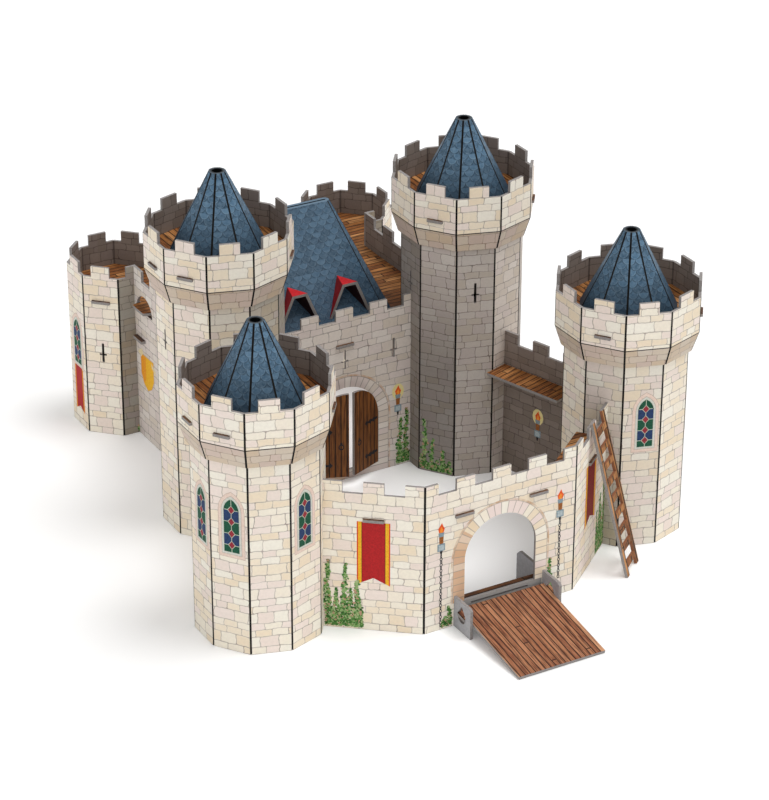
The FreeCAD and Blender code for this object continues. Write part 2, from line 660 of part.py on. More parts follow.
def keep_wall(side):
    """One wall of the keep, with its slots and openings."""
    run, shift, tabs = KEEP_SIDES[side]
    panel = wall_sheet(run, KEEP_WALL_HEIGHT, shift)
    middle = run.length / 2
    cuts = [tab_slot(run, middle + offset, KEEP_DECK) for offset in tabs]
    if side == "front":
        cuts.append(run.arch(middle, DOOR_WIDTH / 2, DOOR_SILL, DOOR_SPRING, CARD))
        cuts += [arrow_slit(run, middle + offset, KEEP_SLIT_FOOT)
                 for offset in (-KEEP_SLIT_OFFSET, 0.0, KEEP_SLIT_OFFSET)]
    if side == "left":
        cuts.append(run.arch(BALCONY_FROM_TURRET, BALCONY_RADIUS, BALCONY_FOOT, BALCONY_FOOT, CARD))
        cuts.append(tab_slot(run, SHELF_TAB_FROM_TURRET, SHELF_LEVEL))
    return panel.cut(cuts)


def keep_deck():
    """Board over the keep, cut out round the towers, with a round tongue as the balcony."""
    side = KEEP_HALF - HALF - FIT
    near, far = HALF + FIT, KEEP_DEPTH - HALF - FIT
    plan = [FreeCAD.Vector(x, y, 0) for x, y in ((-side, near), (side, near), (side, far), (-side, far))]
    board = prism(plan, KEEP_DECK - CARD, KEEP_DECK)
    levels = (KEEP_DECK - 2 * CARD, KEEP_DECK + CARD)
    cuts = [prism(corners(TOWERS[name], TOWER_SIDES, TOWER_RADIUS + FIT), *levels)
            for name in ("back_left", "back_right")]
    thin = CARD / math.cos(math.radians(TURRET_STEP / 2))
    cuts += [prism(corners(place, TURRET_SIDES, TURRET_RADIUS - thin), *levels)
             for place in TURRET_PLACES.values()]
    board = board.cut(cuts)
    adds = []
    for run, _, tabs in KEEP_SIDES.values():
        adds += [tab(run, run.length / 2 + offset, KEEP_DECK) for offset in tabs]
    centre = KEEP_LEFT.point(BALCONY_FROM_TURRET, 0, KEEP_DECK - CARD)
    disc = Part.makeCylinder(BALCONY_RADIUS - BALCONY_SIDE_GAP - CARD, CARD, centre)
    levels = (KEEP_DECK - CARD, KEEP_DECK)
    adds.append(disc.common(KEEP_LEFT.box((0, 2 * BALCONY_FROM_TURRET), (-CARD, BALCONY_REACH), levels)))
    return board.fuse(adds).removeSplitter()


def keep_shelf():
    """Short inner board on the keep's left wall, with its tab out beside the turret."""
    run = KEEP_LEFT
    levels = (SHELF_LEVEL - CARD, SHELF_LEVEL)
    board = run.box((WALK_END_GAP, SHELF_LENGTH), (-WALK_DEPTH / 2, -HALF - FIT), levels)
    outer_tab = tab(run, SHELF_TAB_FROM_TURRET, SHELF_LEVEL, proud=SHELF_TAB_PROUD)
    return board.fuse(outer_tab).removeSplitter()


def roof_outline(half, corner, half_depth, level):
    """Eight-sided plan of the keep roof at a level, with its corners cut off."""
    x, y = half + corner, half_depth
    cut = min(corner, half_depth / 2)
    right = ((half, -y), (x, cut - y), (x, y - cut), (half, y))
    plan = list(right) + [(-px, py) for px, py in reversed(right)]
    return [FreeCAD.Vector(px, ROOF_MIDDLE + py, level) for px, py in plan]


def keep_roof():
    """Tall folded roof with eight slopes and a narrow open top, standing on the keep's deck."""
    base = roof_outline(ROOF_BASE_HALF, ROOF_BASE_CORNER, ROOF_BASE_HALF_DEPTH, KEEP_DECK)
    top = roof_outline(ROOF_TOP_HALF, ROOF_TOP_CORNER, ROOF_TOP_HALF_DEPTH, KEEP_DECK + ROOF_HEIGHT)
    distances = []
    for k, start in enumerate(base):
        along = (base[(k + 1) % 8] - start).normalize()
        inward = FreeCAD.Vector(-along.y, along.x, 0)
        run = abs((top[k] - start).dot(inward))
        distances.append(CARD / math.cos(math.atan2(run, ROOF_HEIGHT)))
    outer = loft([grooved(base), grooved(top, FOLD_GROOVE_WIDTH / 2)])
    inner = loft([inset(base, distances), inset(top, distances)])
    return outer.cut(inner)


def dormer(side):
    """Three-sided folded hood on the roof's front slope, open at the front."""
    near = ROOF_MIDDLE - ROOF_BASE_HALF_DEPTH
    slope = ROOF_HEIGHT / (ROOF_BASE_HALF_DEPTH - ROOF_TOP_HALF_DEPTH)
    x = DORMER_MIDDLE + side * DORMER_OFFSET
    front, back = near + DORMER_FRONT_RUN, near + DORMER_POINT_RUN
    foot = KEEP_DECK + DORMER_FRONT_RUN * slope
    point = FreeCAD.Vector(x, back, KEEP_DECK + DORMER_POINT_RUN * slope)
    low = [FreeCAD.Vector(x + way * DORMER_FOOT_WIDTH / 2, front, foot) for way in (-1, 1)]
    crown = KEEP_DECK + DORMER_TOP_RISE
    high = [FreeCAD.Vector(x + way * DORMER_TOP_WIDTH / 2, front, crown) for way in (-1, 1)]
    hood = solid_from([[low[0], high[0], high[1], low[1]], [point, low[0], low[1]],
                       [point, low[0], high[0]], [point, high[0], high[1]], [point, high[1], low[1]]])
    left = plane_through(point, low[0], high[0], -CARD)
    crest = plane_through(point, high[0], high[1], -CARD)
    right = plane_through(point, high[1], low[1], -CARD)
    mouth = plane_through(low[0], low[1], high[0], CARD)
    slope_face = plane_through(point, low[1], low[0], CARD)
    a, b = meet(left, mouth, slope_face), meet(left, mouth, crest)
    c, d = meet(right, mouth, crest), meet(right, mouth, slope_face)
    upper, lower = meet(left, right, crest), meet(left, right, slope_face)
    hollow = solid_from([[a, b, c, d], [a, d, lower], [b, c, upper],
                         [a, b, upper, lower], [c, d, lower, upper]])
    return hood.cut(hollow).translated(FreeCAD.Vector(0, 0, FIT / 2))


def door_leaf(side):
    """Half of the round-headed door, hinged at its jamb and standing ajar towards the ward."""
    run = KEEP_FRONT
    middle = run.length / 2
    leaf = run.arch(middle, DOOR_WIDTH / 2 - DOOR_GAP, DOOR_SILL + DOOR_GAP, DOOR_SPRING, HALF)
    keep = (middle + DOOR_GAP, run.length) if side > 0 else (0.0, middle - DOOR_GAP)
    leaf = leaf.common(run.box(keep, (-CARD, CARD), (0.0, KEEP_WALL_HEIGHT)))
    axis = run.point(middle + side * (DOOR_WIDTH / 2 - DOOR_GAP), HALF)
    return leaf.rotated(axis, FreeCAD.Vector(0, 0, 1), side * DOOR_AJAR)


def bracket(side):
    """Upright plate beside the drawbridge, halved into the gate wall, with its pointed hinge hole."""
    run = bracket_run(side)
    end = run.length
    outline = [(0.0, 0.0), (end, 0.0), (end, BRACKET_HEIGHT - BRACKET_CORNER / 2),
               (end - BRACKET_CORNER / 2, BRACKET_HEIGHT), (BRACKET_CORNER, BRACKET_HEIGHT),
               (0.0, BRACKET_HEIGHT - BRACKET_CORNER)]
    plate = run.cutter(outline, HALF)
    wall_at = BRACKET_BACK
    halving = run.box((wall_at - HALF - FIT, wall_at + HALF + FIT), (-CARD, CARD),
                      (BRACKET_HEIGHT / 2, BRACKET_HEIGHT + 1.0))
    hinge = wall_at + HINGE_OUT
    start = run.point(hinge, -CARD, HINGE_HEIGHT)
    round_hole = Part.makeCylinder(HINGE_HOLE_RADIUS, 2 * CARD, start, run.out)
    reach = HINGE_HOLE_RADIUS / math.sqrt(2)
    tip = run.cutter([(hinge - reach, HINGE_HEIGHT + reach), (hinge + reach, HINGE_HEIGHT + reach),
                      (hinge, HINGE_HEIGHT + HINGE_HOLE_TIP)], CARD)
    board_slot = run.box((wall_at - HALF - FIT - THRESHOLD_DEPTH, wall_at - HALF), (-CARD, CARD),
                         (GATE_SILL - CARD - FIT, GATE_SILL + FIT))
    return plate.cut([halving, round_hole, tip, board_slot])


def threshold():
    """Plank behind the gate sill, its ends held in the two brackets."""
    end = BRIDGE_HALF_GAP + CARD
    middle = GATE_LENGTH / 2
    return GATE_RUN.box((middle - end, middle + end), (-HALF - FIT - THRESHOLD_DEPTH + FIT, -HALF - FIT),
                        (GATE_SILL - CARD, GATE_SILL))


def drawbridge():
    """Flat bridge with two ears in the brackets' holes, let down so that its front edge is on the floor."""
    y = GATE_FRONT - HINGE_OUT
    half = BRIDGE_HALF_GAP - BRIDGE_SIDE_GAP
    lean = math.asin((HINGE_HEIGHT - HALF) / BRIDGE_FRONT)
    drop = math.degrees(math.atan2(HINGE_HEIGHT - HALF * math.cos(lean), BRIDGE_FRONT))
    low, high = HINGE_HEIGHT - HALF, HINGE_HEIGHT + HALF
    plan = [FreeCAD.Vector(x, y - d, 0) for x, d in ((-half, BRIDGE_FRONT), (half, BRIDGE_FRONT),
                                                   (half, -BRIDGE_REAR), (-half, -BRIDGE_REAR))]
    ear = BRIDGE_HALF_GAP + CARD + EAR_PROUD
    ears = [FreeCAD.Vector(x, y + d, 0) for x, d in ((-ear, -EAR_WIDTH / 2), (ear, -EAR_WIDTH / 2),
                                                     (ear, EAR_WIDTH / 2), (-ear, EAR_WIDTH / 2))]
    deck = prism(plan, low, high).fuse(prism(ears, low, high)).removeSplitter()
    deck = deck.rotated(FreeCAD.Vector(0, y, HINGE_HEIGHT), FreeCAD.Vector(1, 0, 0), drop)
    return deck.translated(FreeCAD.Vector(0, 0, -min(0.0, deck.BoundBox.ZMin)))


def ladder():
    """Flat cut ladder, its foot on the floor and its top against the right wing's battlements."""
    run = RIGHT_WING_RUN
    rail, width = LADDER_RAIL, LADDER_WIDTH
    flat = Run(FreeCAD.Vector(0, 0, 0), FreeCAD.Vector(width, 0, 0))
    sheet = flat.box((0.0, width), (0.0, CARD), (0.0, LADDER_LENGTH))
    pitch = (LADDER_LENGTH - LADDER_FOOT) / LADDER_RUNGS
    cuts = [flat.box((rail, width - rail), (-CARD, 2 * CARD), (-1.0, LADDER_FOOT))]
    for k in range(LADDER_RUNGS):
        low = LADDER_FOOT + LADDER_RUNG + k * pitch
        high = low + pitch - LADDER_RUNG if k < LADDER_RUNGS - 1 else LADDER_LENGTH + 1.0
        cuts.append(flat.box((rail, width - rail), (-CARD, 2 * CARD), (low, high)))
    lean = math.atan2(LADDER_FOOT_OUT - HALF - LADDER_REST_GAP, FRONT_WALL_HEIGHT + MERLON_HEIGHT)
    sheet = sheet.cut(cuts).rotated(FreeCAD.Vector(), FreeCAD.Vector(1, 0, 0), -math.degrees(lean))
    turn = math.degrees(math.atan2(run.along.y, run.along.x))
    sheet = sheet.rotated(FreeCAD.Vector(), FreeCAD.Vector(0, 0, 1), turn)
    return sheet.translated(run.point(LADDER_ALONG, LADDER_FOOT_OUT))


def build():
    """Every node of the castle by name."""
    nodes = {}
    for name in TOWERS:
        nodes["tower_body_" + name] = tower_body(name)
        nodes["tower_crown_" + name] = tower_crown(name)
        nodes["tower_deck_" + name] = tower_deck(name)
        nodes["tower_roof_" + name] = tower_roof(name)
    for name in TURRET_PLACES:
        nodes["turret_body_" + name] = turret_body(name)
        nodes["turret_deck_" + name] = turret_deck(name)
    for side in ("left", "right"):
        nodes["curtain_wall_" + side] = curtain_wall(side)
        nodes["curtain_walk_" + side] = curtain_walk(side)
    nodes["gate_wall"] = gate_wall()
    nodes["gate_walk"] = gate_walk()
    for side in KEEP_SIDES:
        nodes["keep_wall_" + side] = keep_wall(side)
    nodes["keep_deck"] = keep_deck()
    nodes["keep_shelf"] = keep_shelf()
    nodes["keep_roof"] = keep_roof()
    for name, side in (("left", -1), ("right", 1)):
        nodes["dormer_" + name] = dormer(side)
        nodes["door_leaf_" + name] = door_leaf(side)
        nodes["bridge_bracket_" + name] = bracket(side)
    nodes["threshold_plank"] = threshold()
    nodes["drawbridge"] = drawbridge()
    nodes["ladder"] = ladder()
    return nodes


os.makedirs("parts", exist_ok=True)
for node, shape in build().items():
    shape.exportStep("parts/" + node + ".step")
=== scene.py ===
import logging
import math
import random
from dataclasses import dataclass, field
from enum import Enum

import bmesh
import bpy
from mathutils import Matrix, Vector

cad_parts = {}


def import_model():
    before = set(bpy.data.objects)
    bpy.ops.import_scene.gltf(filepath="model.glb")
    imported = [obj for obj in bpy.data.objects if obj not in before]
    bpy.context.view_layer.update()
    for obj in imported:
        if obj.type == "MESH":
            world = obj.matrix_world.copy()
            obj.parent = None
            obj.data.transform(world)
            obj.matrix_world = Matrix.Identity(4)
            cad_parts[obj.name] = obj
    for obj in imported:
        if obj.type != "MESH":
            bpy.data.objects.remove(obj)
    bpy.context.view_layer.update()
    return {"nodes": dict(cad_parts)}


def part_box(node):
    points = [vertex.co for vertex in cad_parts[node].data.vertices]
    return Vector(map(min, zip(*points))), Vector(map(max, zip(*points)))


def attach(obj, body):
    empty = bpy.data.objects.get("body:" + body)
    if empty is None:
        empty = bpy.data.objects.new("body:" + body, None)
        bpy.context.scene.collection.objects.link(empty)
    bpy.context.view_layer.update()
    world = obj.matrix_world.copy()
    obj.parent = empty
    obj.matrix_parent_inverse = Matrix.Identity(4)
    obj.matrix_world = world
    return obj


log = logging.getLogger("castle")
MM = 0.001
CARD = 3.0
FOLD_HALF = 1.05
DOOR_JAMB = 39.6
DOOR_AJAR = 22.0
Colour = tuple[float, float, float, float]


def ink(code: str) -> Colour:
    """Printed colour from a six-figure code, as the linear values that shaders use.

    Args:
        code: red, green and blue as two hexadecimal figures each.

    Returns:
        Linear red, green, blue and full opacity.
    """
    parts = [int(code[i:i + 2], 16) / 255.0 for i in (0, 2, 4)]
    linear = [c / 12.92 if c <= 0.04045 else ((c + 0.055) / 1.055) ** 2.4 for c in parts]
    return (linear[0], linear[1], linear[2], 1.0)


class Field:
    """A number that varies over a surface, held as a shader socket that sums can be done with."""

    def __init__(self, press: "Press", socket: bpy.types.NodeSocket) -> None:
        """Keeps the press that draws it and the socket it comes from."""
        self.press = press
        self.socket = socket

    def __add__(self, other: "Number") -> "Field":
        """Sum."""
        return self.press.sum("ADD", self, other)

    __radd__ = __add__

    def __sub__(self, other: "Number") -> "Field":
        """Difference."""
        return self.press.sum("SUBTRACT", self, other)

    def __rsub__(self, other: "Number") -> "Field":
        """Difference the other way round."""
        return self.press.sum("SUBTRACT", other, self)

    def __mul__(self, other: "Number") -> "Field":
        """Product."""
        return self.press.sum("MULTIPLY", self, other)

    __rmul__ = __mul__

    def __truediv__(self, other: "Number") -> "Field":
        """Quotient."""
        return self.press.sum("DIVIDE", self, other)

    def __gt__(self, other: "Number") -> "Field":
        """One where this is larger, otherwise nought."""
        return self.press.sum("GREATER_THAN", self, other)

    def __lt__(self, other: "Number") -> "Field":
        """One where this is smaller, otherwise nought."""
        return self.press.sum("LESS_THAN", self, other)

    def __neg__(self) -> "Field":
        """Opposite sign."""
        return self.press.sum("MULTIPLY", self, -1.0)

    def floor(self) -> "Field":
        """Whole part."""
        return self.press.sum("FLOOR", self)

    def fract(self) -> "Field":
        """Part after the point."""
        return self.press.sum("FRACT", self)

    def size(self) -> "Field":
        """Value without its sign."""
        return self.press.sum("ABSOLUTE", self)

    def least(self, other: "Number") -> "Field":
        """Smaller of two."""
        return self.press.sum("MINIMUM", self, other)

    def most(self, other: "Number") -> "Field":
        """Larger of two."""
        return self.press.sum("MAXIMUM", self, other)


Number = Field | float


class Press:
    """Draws one card finish as a node material, from patterns in millimetres."""

    gloss = 0.25
    relief = 0.1
    relief_strength = 0.5

    def __init__(self, name: str, world: bpy.types.World | None = None) -> None:
        """Starts with no nodes.

        Args:
            name: the material's name.
            world: a world to be drawn in place of a new material.
        """
        self.material = world or bpy.data.materials.new(name)
        self.material.use_nodes = True
        self.tree = self.material.node_tree
        self.tree.nodes.clear()

    def node(self, kind: str, inputs: dict[str | int, object] | None = None,
             **settings: object) -> bpy.types.Node:
        """Adds a node.

        Args:
            kind: the node's type.
            inputs: what its inputs are fed with, by their names or numbers.
            settings: its other settings.

        Returns:
            The node.
        """
        made = self.tree.nodes.new(kind)
        for key, value in settings.items():
            setattr(made, key, value)
        for key, value in (inputs or {}).items():
            self.feed(made.inputs[key], value)
        return made

    def feed(self, socket: bpy.types.NodeSocket, value: object) -> None:
        """Links a field or socket to an input, or sets a plain value there.

        Args:
            socket: the input.
            value: a Field, an output socket, a number or a colour's code.
        """
        if isinstance(value, Field):
            value = value.socket
        if isinstance(value, bpy.types.NodeSocket):
            self.tree.links.new(value, socket)
        else:
            socket.default_value = ink(value) if isinstance(value, str) else value

    def sum(self, operation: str, *values: Number) -> Field:
        """One step of arithmetic.

        Args:
            operation: the Math node's operation.
            values: fields or plain numbers.

        Returns:
            The result as a field.
        """
        made = self.node("ShaderNodeMath", dict(enumerate(values)), operation=operation)
        return Field(self, made.outputs[0])

    def length(self, across: Field, up: Field) -> Field:
        """Distance given by two parts at right angles."""
        return self.sum("SQRT", across * across + up * up)

    def split(self, output: str) -> tuple[Field, Field, Field]:
        """The three parts of a texture coordinate output.

        Args:
            output: Object, Normal or UV.

        Returns:
            The x, y and z parts as fields.
        """
        source = self.node("ShaderNodeTexCoord")
        parts = self.node("ShaderNodeSeparateXYZ", {0: source.outputs[output]})
        return tuple(Field(self, socket) for socket in parts.outputs)

    def place(self) -> tuple[Field, Field, Field]:
        """Where the point is on the castle, in millimetres."""
        x, y, z = self.split("Object")
        return x * 1000.0, y * 1000.0, z * 1000.0

    def vector(self, x: Number, y: Number, z: Number = 0.0) -> bpy.types.NodeSocket:
        """Three fields joined as a vector."""
        return self.node("ShaderNodeCombineXYZ", {0: x, 1: y, 2: z}).outputs[0]

    def noise(self, x: Number, y: Number, z: Number = 0.0, detail: float = 2.0) -> Field:
        """Smooth noise between nought and one."""
        inputs = {"Vector": self.vector(x, y, z), "Scale": 1.0, "Detail": detail}
        made = self.node("ShaderNodeTexNoise", inputs, noise_dimensions="3D")
        return Field(self, made.outputs[0])

    def fleck(self, scale: float, detail: float = 4.0) -> Field:
        """Even noise all through the card, with the given number of waves for each millimetre."""
        x, y, z = self.place()
        return self.noise(x * scale, y * scale, z * scale, detail)

    def chance(self, x: Number, y: Number = 0.0) -> Field:
        """A steady random number for each pair of values."""
        made = self.node("ShaderNodeTexWhiteNoise", {"Vector": self.vector(x, y)}, noise_dimensions="2D")
        return Field(self, made.outputs["Value"])

    def blocks(self, along: Field) -> tuple[Field, Field]:
        """Uneven blocks along a line.

        Args:
            along: place along the line, in mean block lengths.

        Returns:
            Distance to the nearest joint in block lengths, and a random number for each block.
        """
        inputs = {"W": along, "Scale": 1.0, "Randomness": 0.75}
        gap, tone = (self.node("ShaderNodeTexVoronoi", inputs, voronoi_dimensions="1D", feature=feature)
                     for feature in ("DISTANCE_TO_EDGE", "F1"))
        parts = self.node("ShaderNodeSeparateColor", {0: tone.outputs["Color"]})
        return Field(self, gap.outputs["Distance"]), Field(self, parts.outputs[0])

    def step(self, value: Field, low: float, high: float) -> Field:
        """Nought below low, one above high and even between."""
        inputs = {"Value": value, "From Min": low, "From Max": high}
        made = self.node("ShaderNodeMapRange", inputs, clamp=True)
        return Field(self, made.outputs["Result"])

    def mix(self, share: Number, first: object, second: object) -> bpy.types.NodeSocket:
        """Colour from the first to the second, both sockets or codes, as the share goes up to one."""
        return self.node("ShaderNodeMix", {0: share, 6: first, 7: second}, data_type="RGBA").outputs[2]

    def choose(self, share: Field, codes: tuple[str, ...]) -> bpy.types.NodeSocket:
        """One of several colours for a number between nought and one.

        Args:
            share: the number.
            codes: the colours' codes in order.

        Returns:
            The colour socket.
        """
        made = self.node("ShaderNodeValToRGB", {0: share})
        ramp = made.color_ramp
        ramp.interpolation = "CONSTANT"
        while len(ramp.elements) < len(codes):
            ramp.elements.new(0.5)
        for k, code in enumerate(codes):
            ramp.elements[k].position = k / len(codes)
            ramp.elements[k].color = ink(code)
        return made.outputs[0]

    def finish(self, colour: object, height: Field, roughness: float = 0.62) -> bpy.types.Material:
        """Closes the material with its shader.

        Args:
            colour: the surface's colour.
            height: relief as a field between nought and one.
            roughness: how matt the card is.

        Returns:
            The finished material.
        """
        bump = self.node("ShaderNodeBump", {"Strength": self.relief_strength, "Distance": self.relief * MM,
                                            "Height": height})
        shader = self.node("ShaderNodeBsdfPrincipled", {"Base Color": colour, "Roughness": roughness,
                                                        "Specular IOR Level": self.gloss,
                                                        "Normal": bump.outputs["Normal"]})
        self.node("ShaderNodeOutputMaterial", {"Surface": shader.outputs[0]})
        return self.material


@dataclass(frozen=True)
class Unfolded:
    """Where a point lies on a printed face.

    The place is along and up the face, front says how squarely the surface faces outwards, and out how far
    it lies from the face's middle line. Fold is one at a fold, and facing is the face's direction in degrees.
    """

    along: Field
    up: Field
    front: Field
    out: Field
    fold: Number = 0.0
    facing: Number = 0.0


@dataclass(frozen=True)
class Ring:
    """Flat faces round an upright line, as on a tower, crown, turret or pointed roof."""

    x: float
    y: float
    sides: int
    turn: float = 0.0

    def unfold(self, press: Press) -> Unfolded:
        """Places on the ring's faces.

        Args:
            press: the material being drawn.

        Returns:
            The point's place on its face.
        """
        px, py, up = press.place()
        nx, ny, _ = press.split("Normal")
        px, py = px - self.x, py - self.y
        step = 2.0 * math.pi / self.sides
        face = (press.sum("ARCTAN2", px, -py) / step + self.turn).floor()
        angle = (face + (0.5 - self.turn)) * step
        sine, cosine = press.sum("SINE", angle), press.sum("COSINE", angle)
        along = px * cosine + py * sine
        flat = px * sine - py * cosine
        front = nx * sine - ny * cosine
        fold = along.size() > flat * math.tan(step / 2.0) - FOLD_HALF
        return Unfolded(along + face * 61.7, up, front, flat, fold, angle * math.degrees(1.0))


@dataclass(frozen=True)
class Panel:
    """One straight wall: its start and direction in plan, with its printed side on the right."""

    x: float
    y: float
    angle: float

    def direction(self) -> tuple[float, float]:
        """Unit direction in plan."""
        return math.cos(math.radians(self.angle)), math.sin(math.radians(self.angle))

    def unfold(self, press: Press) -> Unfolded:
        """Places on the wall's two sides.

        Args:
            press: the material being drawn.

        Returns:
            The point's place on the wall.
        """
        px, py, up = press.place()
        nx, ny, _ = press.split("Normal")
        ax, ay = self.direction()
        px, py = px - self.x, py - self.y
        return Unfolded(px * ax + py * ay, up, nx * ay - ny * ax, px * ay - py * ax)


@dataclass(frozen=True)
class FoldedFront:
    """The gate's sheet: a middle panel and two wings folded back evenly."""

    y: float
    turn: float
    half: float

    def unfold(self, press: Press) -> Unfolded:
        """Places along the whole sheet, counted from the gate's middle.

        Args:
            press: the material being drawn.

        Returns:
            The point's place on the sheet.
        """
        px, py, up = press.place()
        nx, ny, _ = press.split("Normal")
        side = press.sum("SIGN", px)
        wide, deep = px.size(), self.y - py
        wing = wide > self.half + CARD / 2 * math.tan(math.radians(self.turn) / 2)
        cosine, sine = math.cos(math.radians(self.turn)), math.sin(math.radians(self.turn))
        reach = (wide - self.half) / cosine + self.half
        along = (wide + wing * (reach - wide)) * side
        front = (nx * side * sine - ny * cosine) * wing - ny * (1.0 - wing)
        out = deep + wing * ((wide - self.half) * sine + deep * cosine - deep)
        fold = (wide - (self.half + 0.5)).size() < FOLD_HALF
        return Unfolded(along, up, front, out, fold)


def centre(node: str) -> tuple[float, float]:
    """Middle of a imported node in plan, in millimetres."""
    low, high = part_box(node)
    return (low.x + high.x) / 2 / MM, (low.y + high.y) / 2 / MM


@dataclass(frozen=True)
class Plan:
    """The castle's plan in millimetres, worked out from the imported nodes."""

    keep_half: float
    keep_depth: float
    ward_half: float
    ward_front: float
    gate_front: float
    gate_half: float = 84.0
    tower_flat: float = 61.55
    crown_flat: float = 71.35
    turret_flat: float = 48.28
    face_gap: float = 0.2

    @classmethod
    def read(cls) -> "Plan":
        """Reads the plan from the middles of the towers, a turret and the gate wall."""
        keep_half, _ = centre("tower_body_back_right")
        _, keep_depth = centre("turret_body_left")
        ward_half, ward_front = centre("tower_body_front_right")
        low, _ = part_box("gate_wall")
        return cls(keep_half, keep_depth, ward_half, ward_front, low.y / MM + CARD / 2)

    @property
    def curtain_turn(self) -> float:
        """How far the ward's side walls lean outwards from -Y, in degrees."""
        return math.degrees(math.atan2(self.ward_half - self.keep_half, -self.ward_front))

    @property
    def wing_turn(self) -> float:
        """How far the gate's wings are folded back, in degrees."""
        return math.degrees(math.atan2(self.ward_front - self.gate_front, self.ward_half - self.gate_half))

    @property
    def wing_length(self) -> float:
        """Length of a wing from its fold to the tower."""
        run = math.hypot(self.ward_half - self.gate_half, self.ward_front - self.gate_front)
        return run - self.tower_flat - self.face_gap

    def front(self) -> FoldedFront:
        """The gate's folded sheet."""
        return FoldedFront(self.gate_front, self.wing_turn, self.gate_half)

    def wing(self, left: bool) -> Panel:
        """A wing of the gate's sheet: the left one starts at its tower, the right one at its fold."""
        if not left:
            return Panel(self.gate_half, self.gate_front, self.wing_turn)
        turn = math.radians(self.wing_turn)
        run = self.wing_length
        start = (-self.gate_half - math.cos(turn) * run, self.gate_front + math.sin(turn) * run)
        return Panel(*start, -self.wing_turn)

    def curtain(self, left: bool) -> Panel:
        """A side wall of the ward, counted from a tower's middle."""
        if left:
            return Panel(-self.keep_half, 0.0, 270.0 - self.curtain_turn)
        return Panel(self.ward_half, self.ward_front, 90.0 + self.curtain_turn)

    def keep(self) -> dict[str, Panel]:
        """The keep's four walls."""
        return {"front": Panel(0.0, 0.0, 0.0),
                "right": Panel(self.keep_half, 0.0, 90.0),
                "back": Panel(0.0, self.keep_depth, 180.0),
                "left": Panel(-self.keep_half, self.keep_depth, -90.0)}


@dataclass(frozen=True)
class Arch:
    """Round-headed opening with a printed ring of cut stones round it."""

    middle: float
    inner: float
    outer: float
    spring: float
    foot: float
    stone: float = 7.5
    warm: str = "D9B08C"
    trim: str = "CDA988"


@dataclass(frozen=True)
class StonePrint:
    """Coursed stone blocks with rounded corners and thin joints."""

    tones: tuple[str, ...]
    joint: str
    course: float = 8.7
    length: float = 16.0
    joint_half: float = 0.28
    corner: float = 1.5
    course_sway: float = 3.4
    end_sway: float = 4.6

    def draw(self, press: Press, along: Field, up: Field) -> tuple[bpy.types.NodeSocket, Field]:
        """Blocks in uneven lengths and courses.

        Args:
            press: the material being drawn.
            along: millimetres along the wall.
            up: millimetres up the wall.

        Returns:
            The colour, and the relief between nought at a joint and one on a block.
        """
        shake = press.noise(along * 0.11, up * 0.11, 3.0, 3.0) - 0.5
        lift = press.noise(along * 0.1, up * 0.1, 9.0, 3.0) - 0.5
        level = (up + lift * self.course_sway) / self.course
        level = level + press.sum("SINE", level * 2.1) * 0.16
        row = level.floor()
        bed = (0.5 - (level - row - 0.5).size()) * self.course
        gap, tone = press.blocks((along + shake * self.end_sway) / self.length + row * 17.37)
        near_bed = (self.corner - bed).most(0.0)
        near_end = (self.corner - gap * self.length).most(0.0)
        joint = self.corner - press.length(near_bed, near_end)
        block = press.step(joint, self.joint_half * 0.4, self.joint_half * 2.2)
        colour = press.choose(tone, self.tones)
        mottle = press.noise(along * 0.35, up * 0.35, 5.0, 4.0)
        soft = press.mix(press.step(mottle, 0.35, 0.75) * 0.16, colour, self.joint)
        pale = press.mix((1.0 - press.step(joint, 0.8, 2.6)) * 0.4, soft, self.tones[0])
        faint = press.noise(along * 0.07, up * 0.07, 1.0, 1.0)
        strength = (1.0 - block) * (0.5 + press.step(faint, 0.3, 0.7) * 0.5)
        return press.mix(strength, pale, self.joint), block

    def ring(self, press: Press, along: Field, up: Field, arch: Arch) -> tuple[bpy.types.NodeSocket, Field]:
        """Cut stones round an arch.

        Args:
            press: the material being drawn.
            along: millimetres along the wall.
            up: millimetres up the wall.
            arch: the opening.

        Returns:
            The colour, and one where the ring of stones lies.
        """
        side = along - arch.middle
        rise = (up - arch.spring).most(0.0)
        reach = press.length(side, rise)
        turn = press.sum("ARCTAN2", side.size(), rise)
        drop = (arch.spring - up).most(0.0)
        run = (turn * (arch.inner + arch.outer) / 2.0 + drop) / arch.stone
        part = run.floor()
        joint = (0.5 - (run - part - 0.5).size()) * arch.stone
        trim = reach > arch.outer
        line = 1.0 - press.step(joint + trim * 9.0, 0.15, 0.6)
        line = line.most(1.0 - press.step((reach - arch.outer).size(), 0.15, 0.7))
        tone = press.chance(part, press.sum("SIGN", side)) * 0.6
        warm = (side < 0.0) * (turn > 0.9)
        colour = press.mix(warm * (0.55 + tone), press.choose(tone, self.tones), arch.warm)
        colour = press.mix(trim, colour, arch.trim)
        patch = press.step(press.noise(along * 0.12, up * 0.12, 2.0, 3.0), 0.35, 0.65)
        inside = (reach < arch.outer + 2.2) * (up > arch.foot) * (1.0 - trim * patch)
        return press.mix(line * 0.8, colour, self.joint), inside


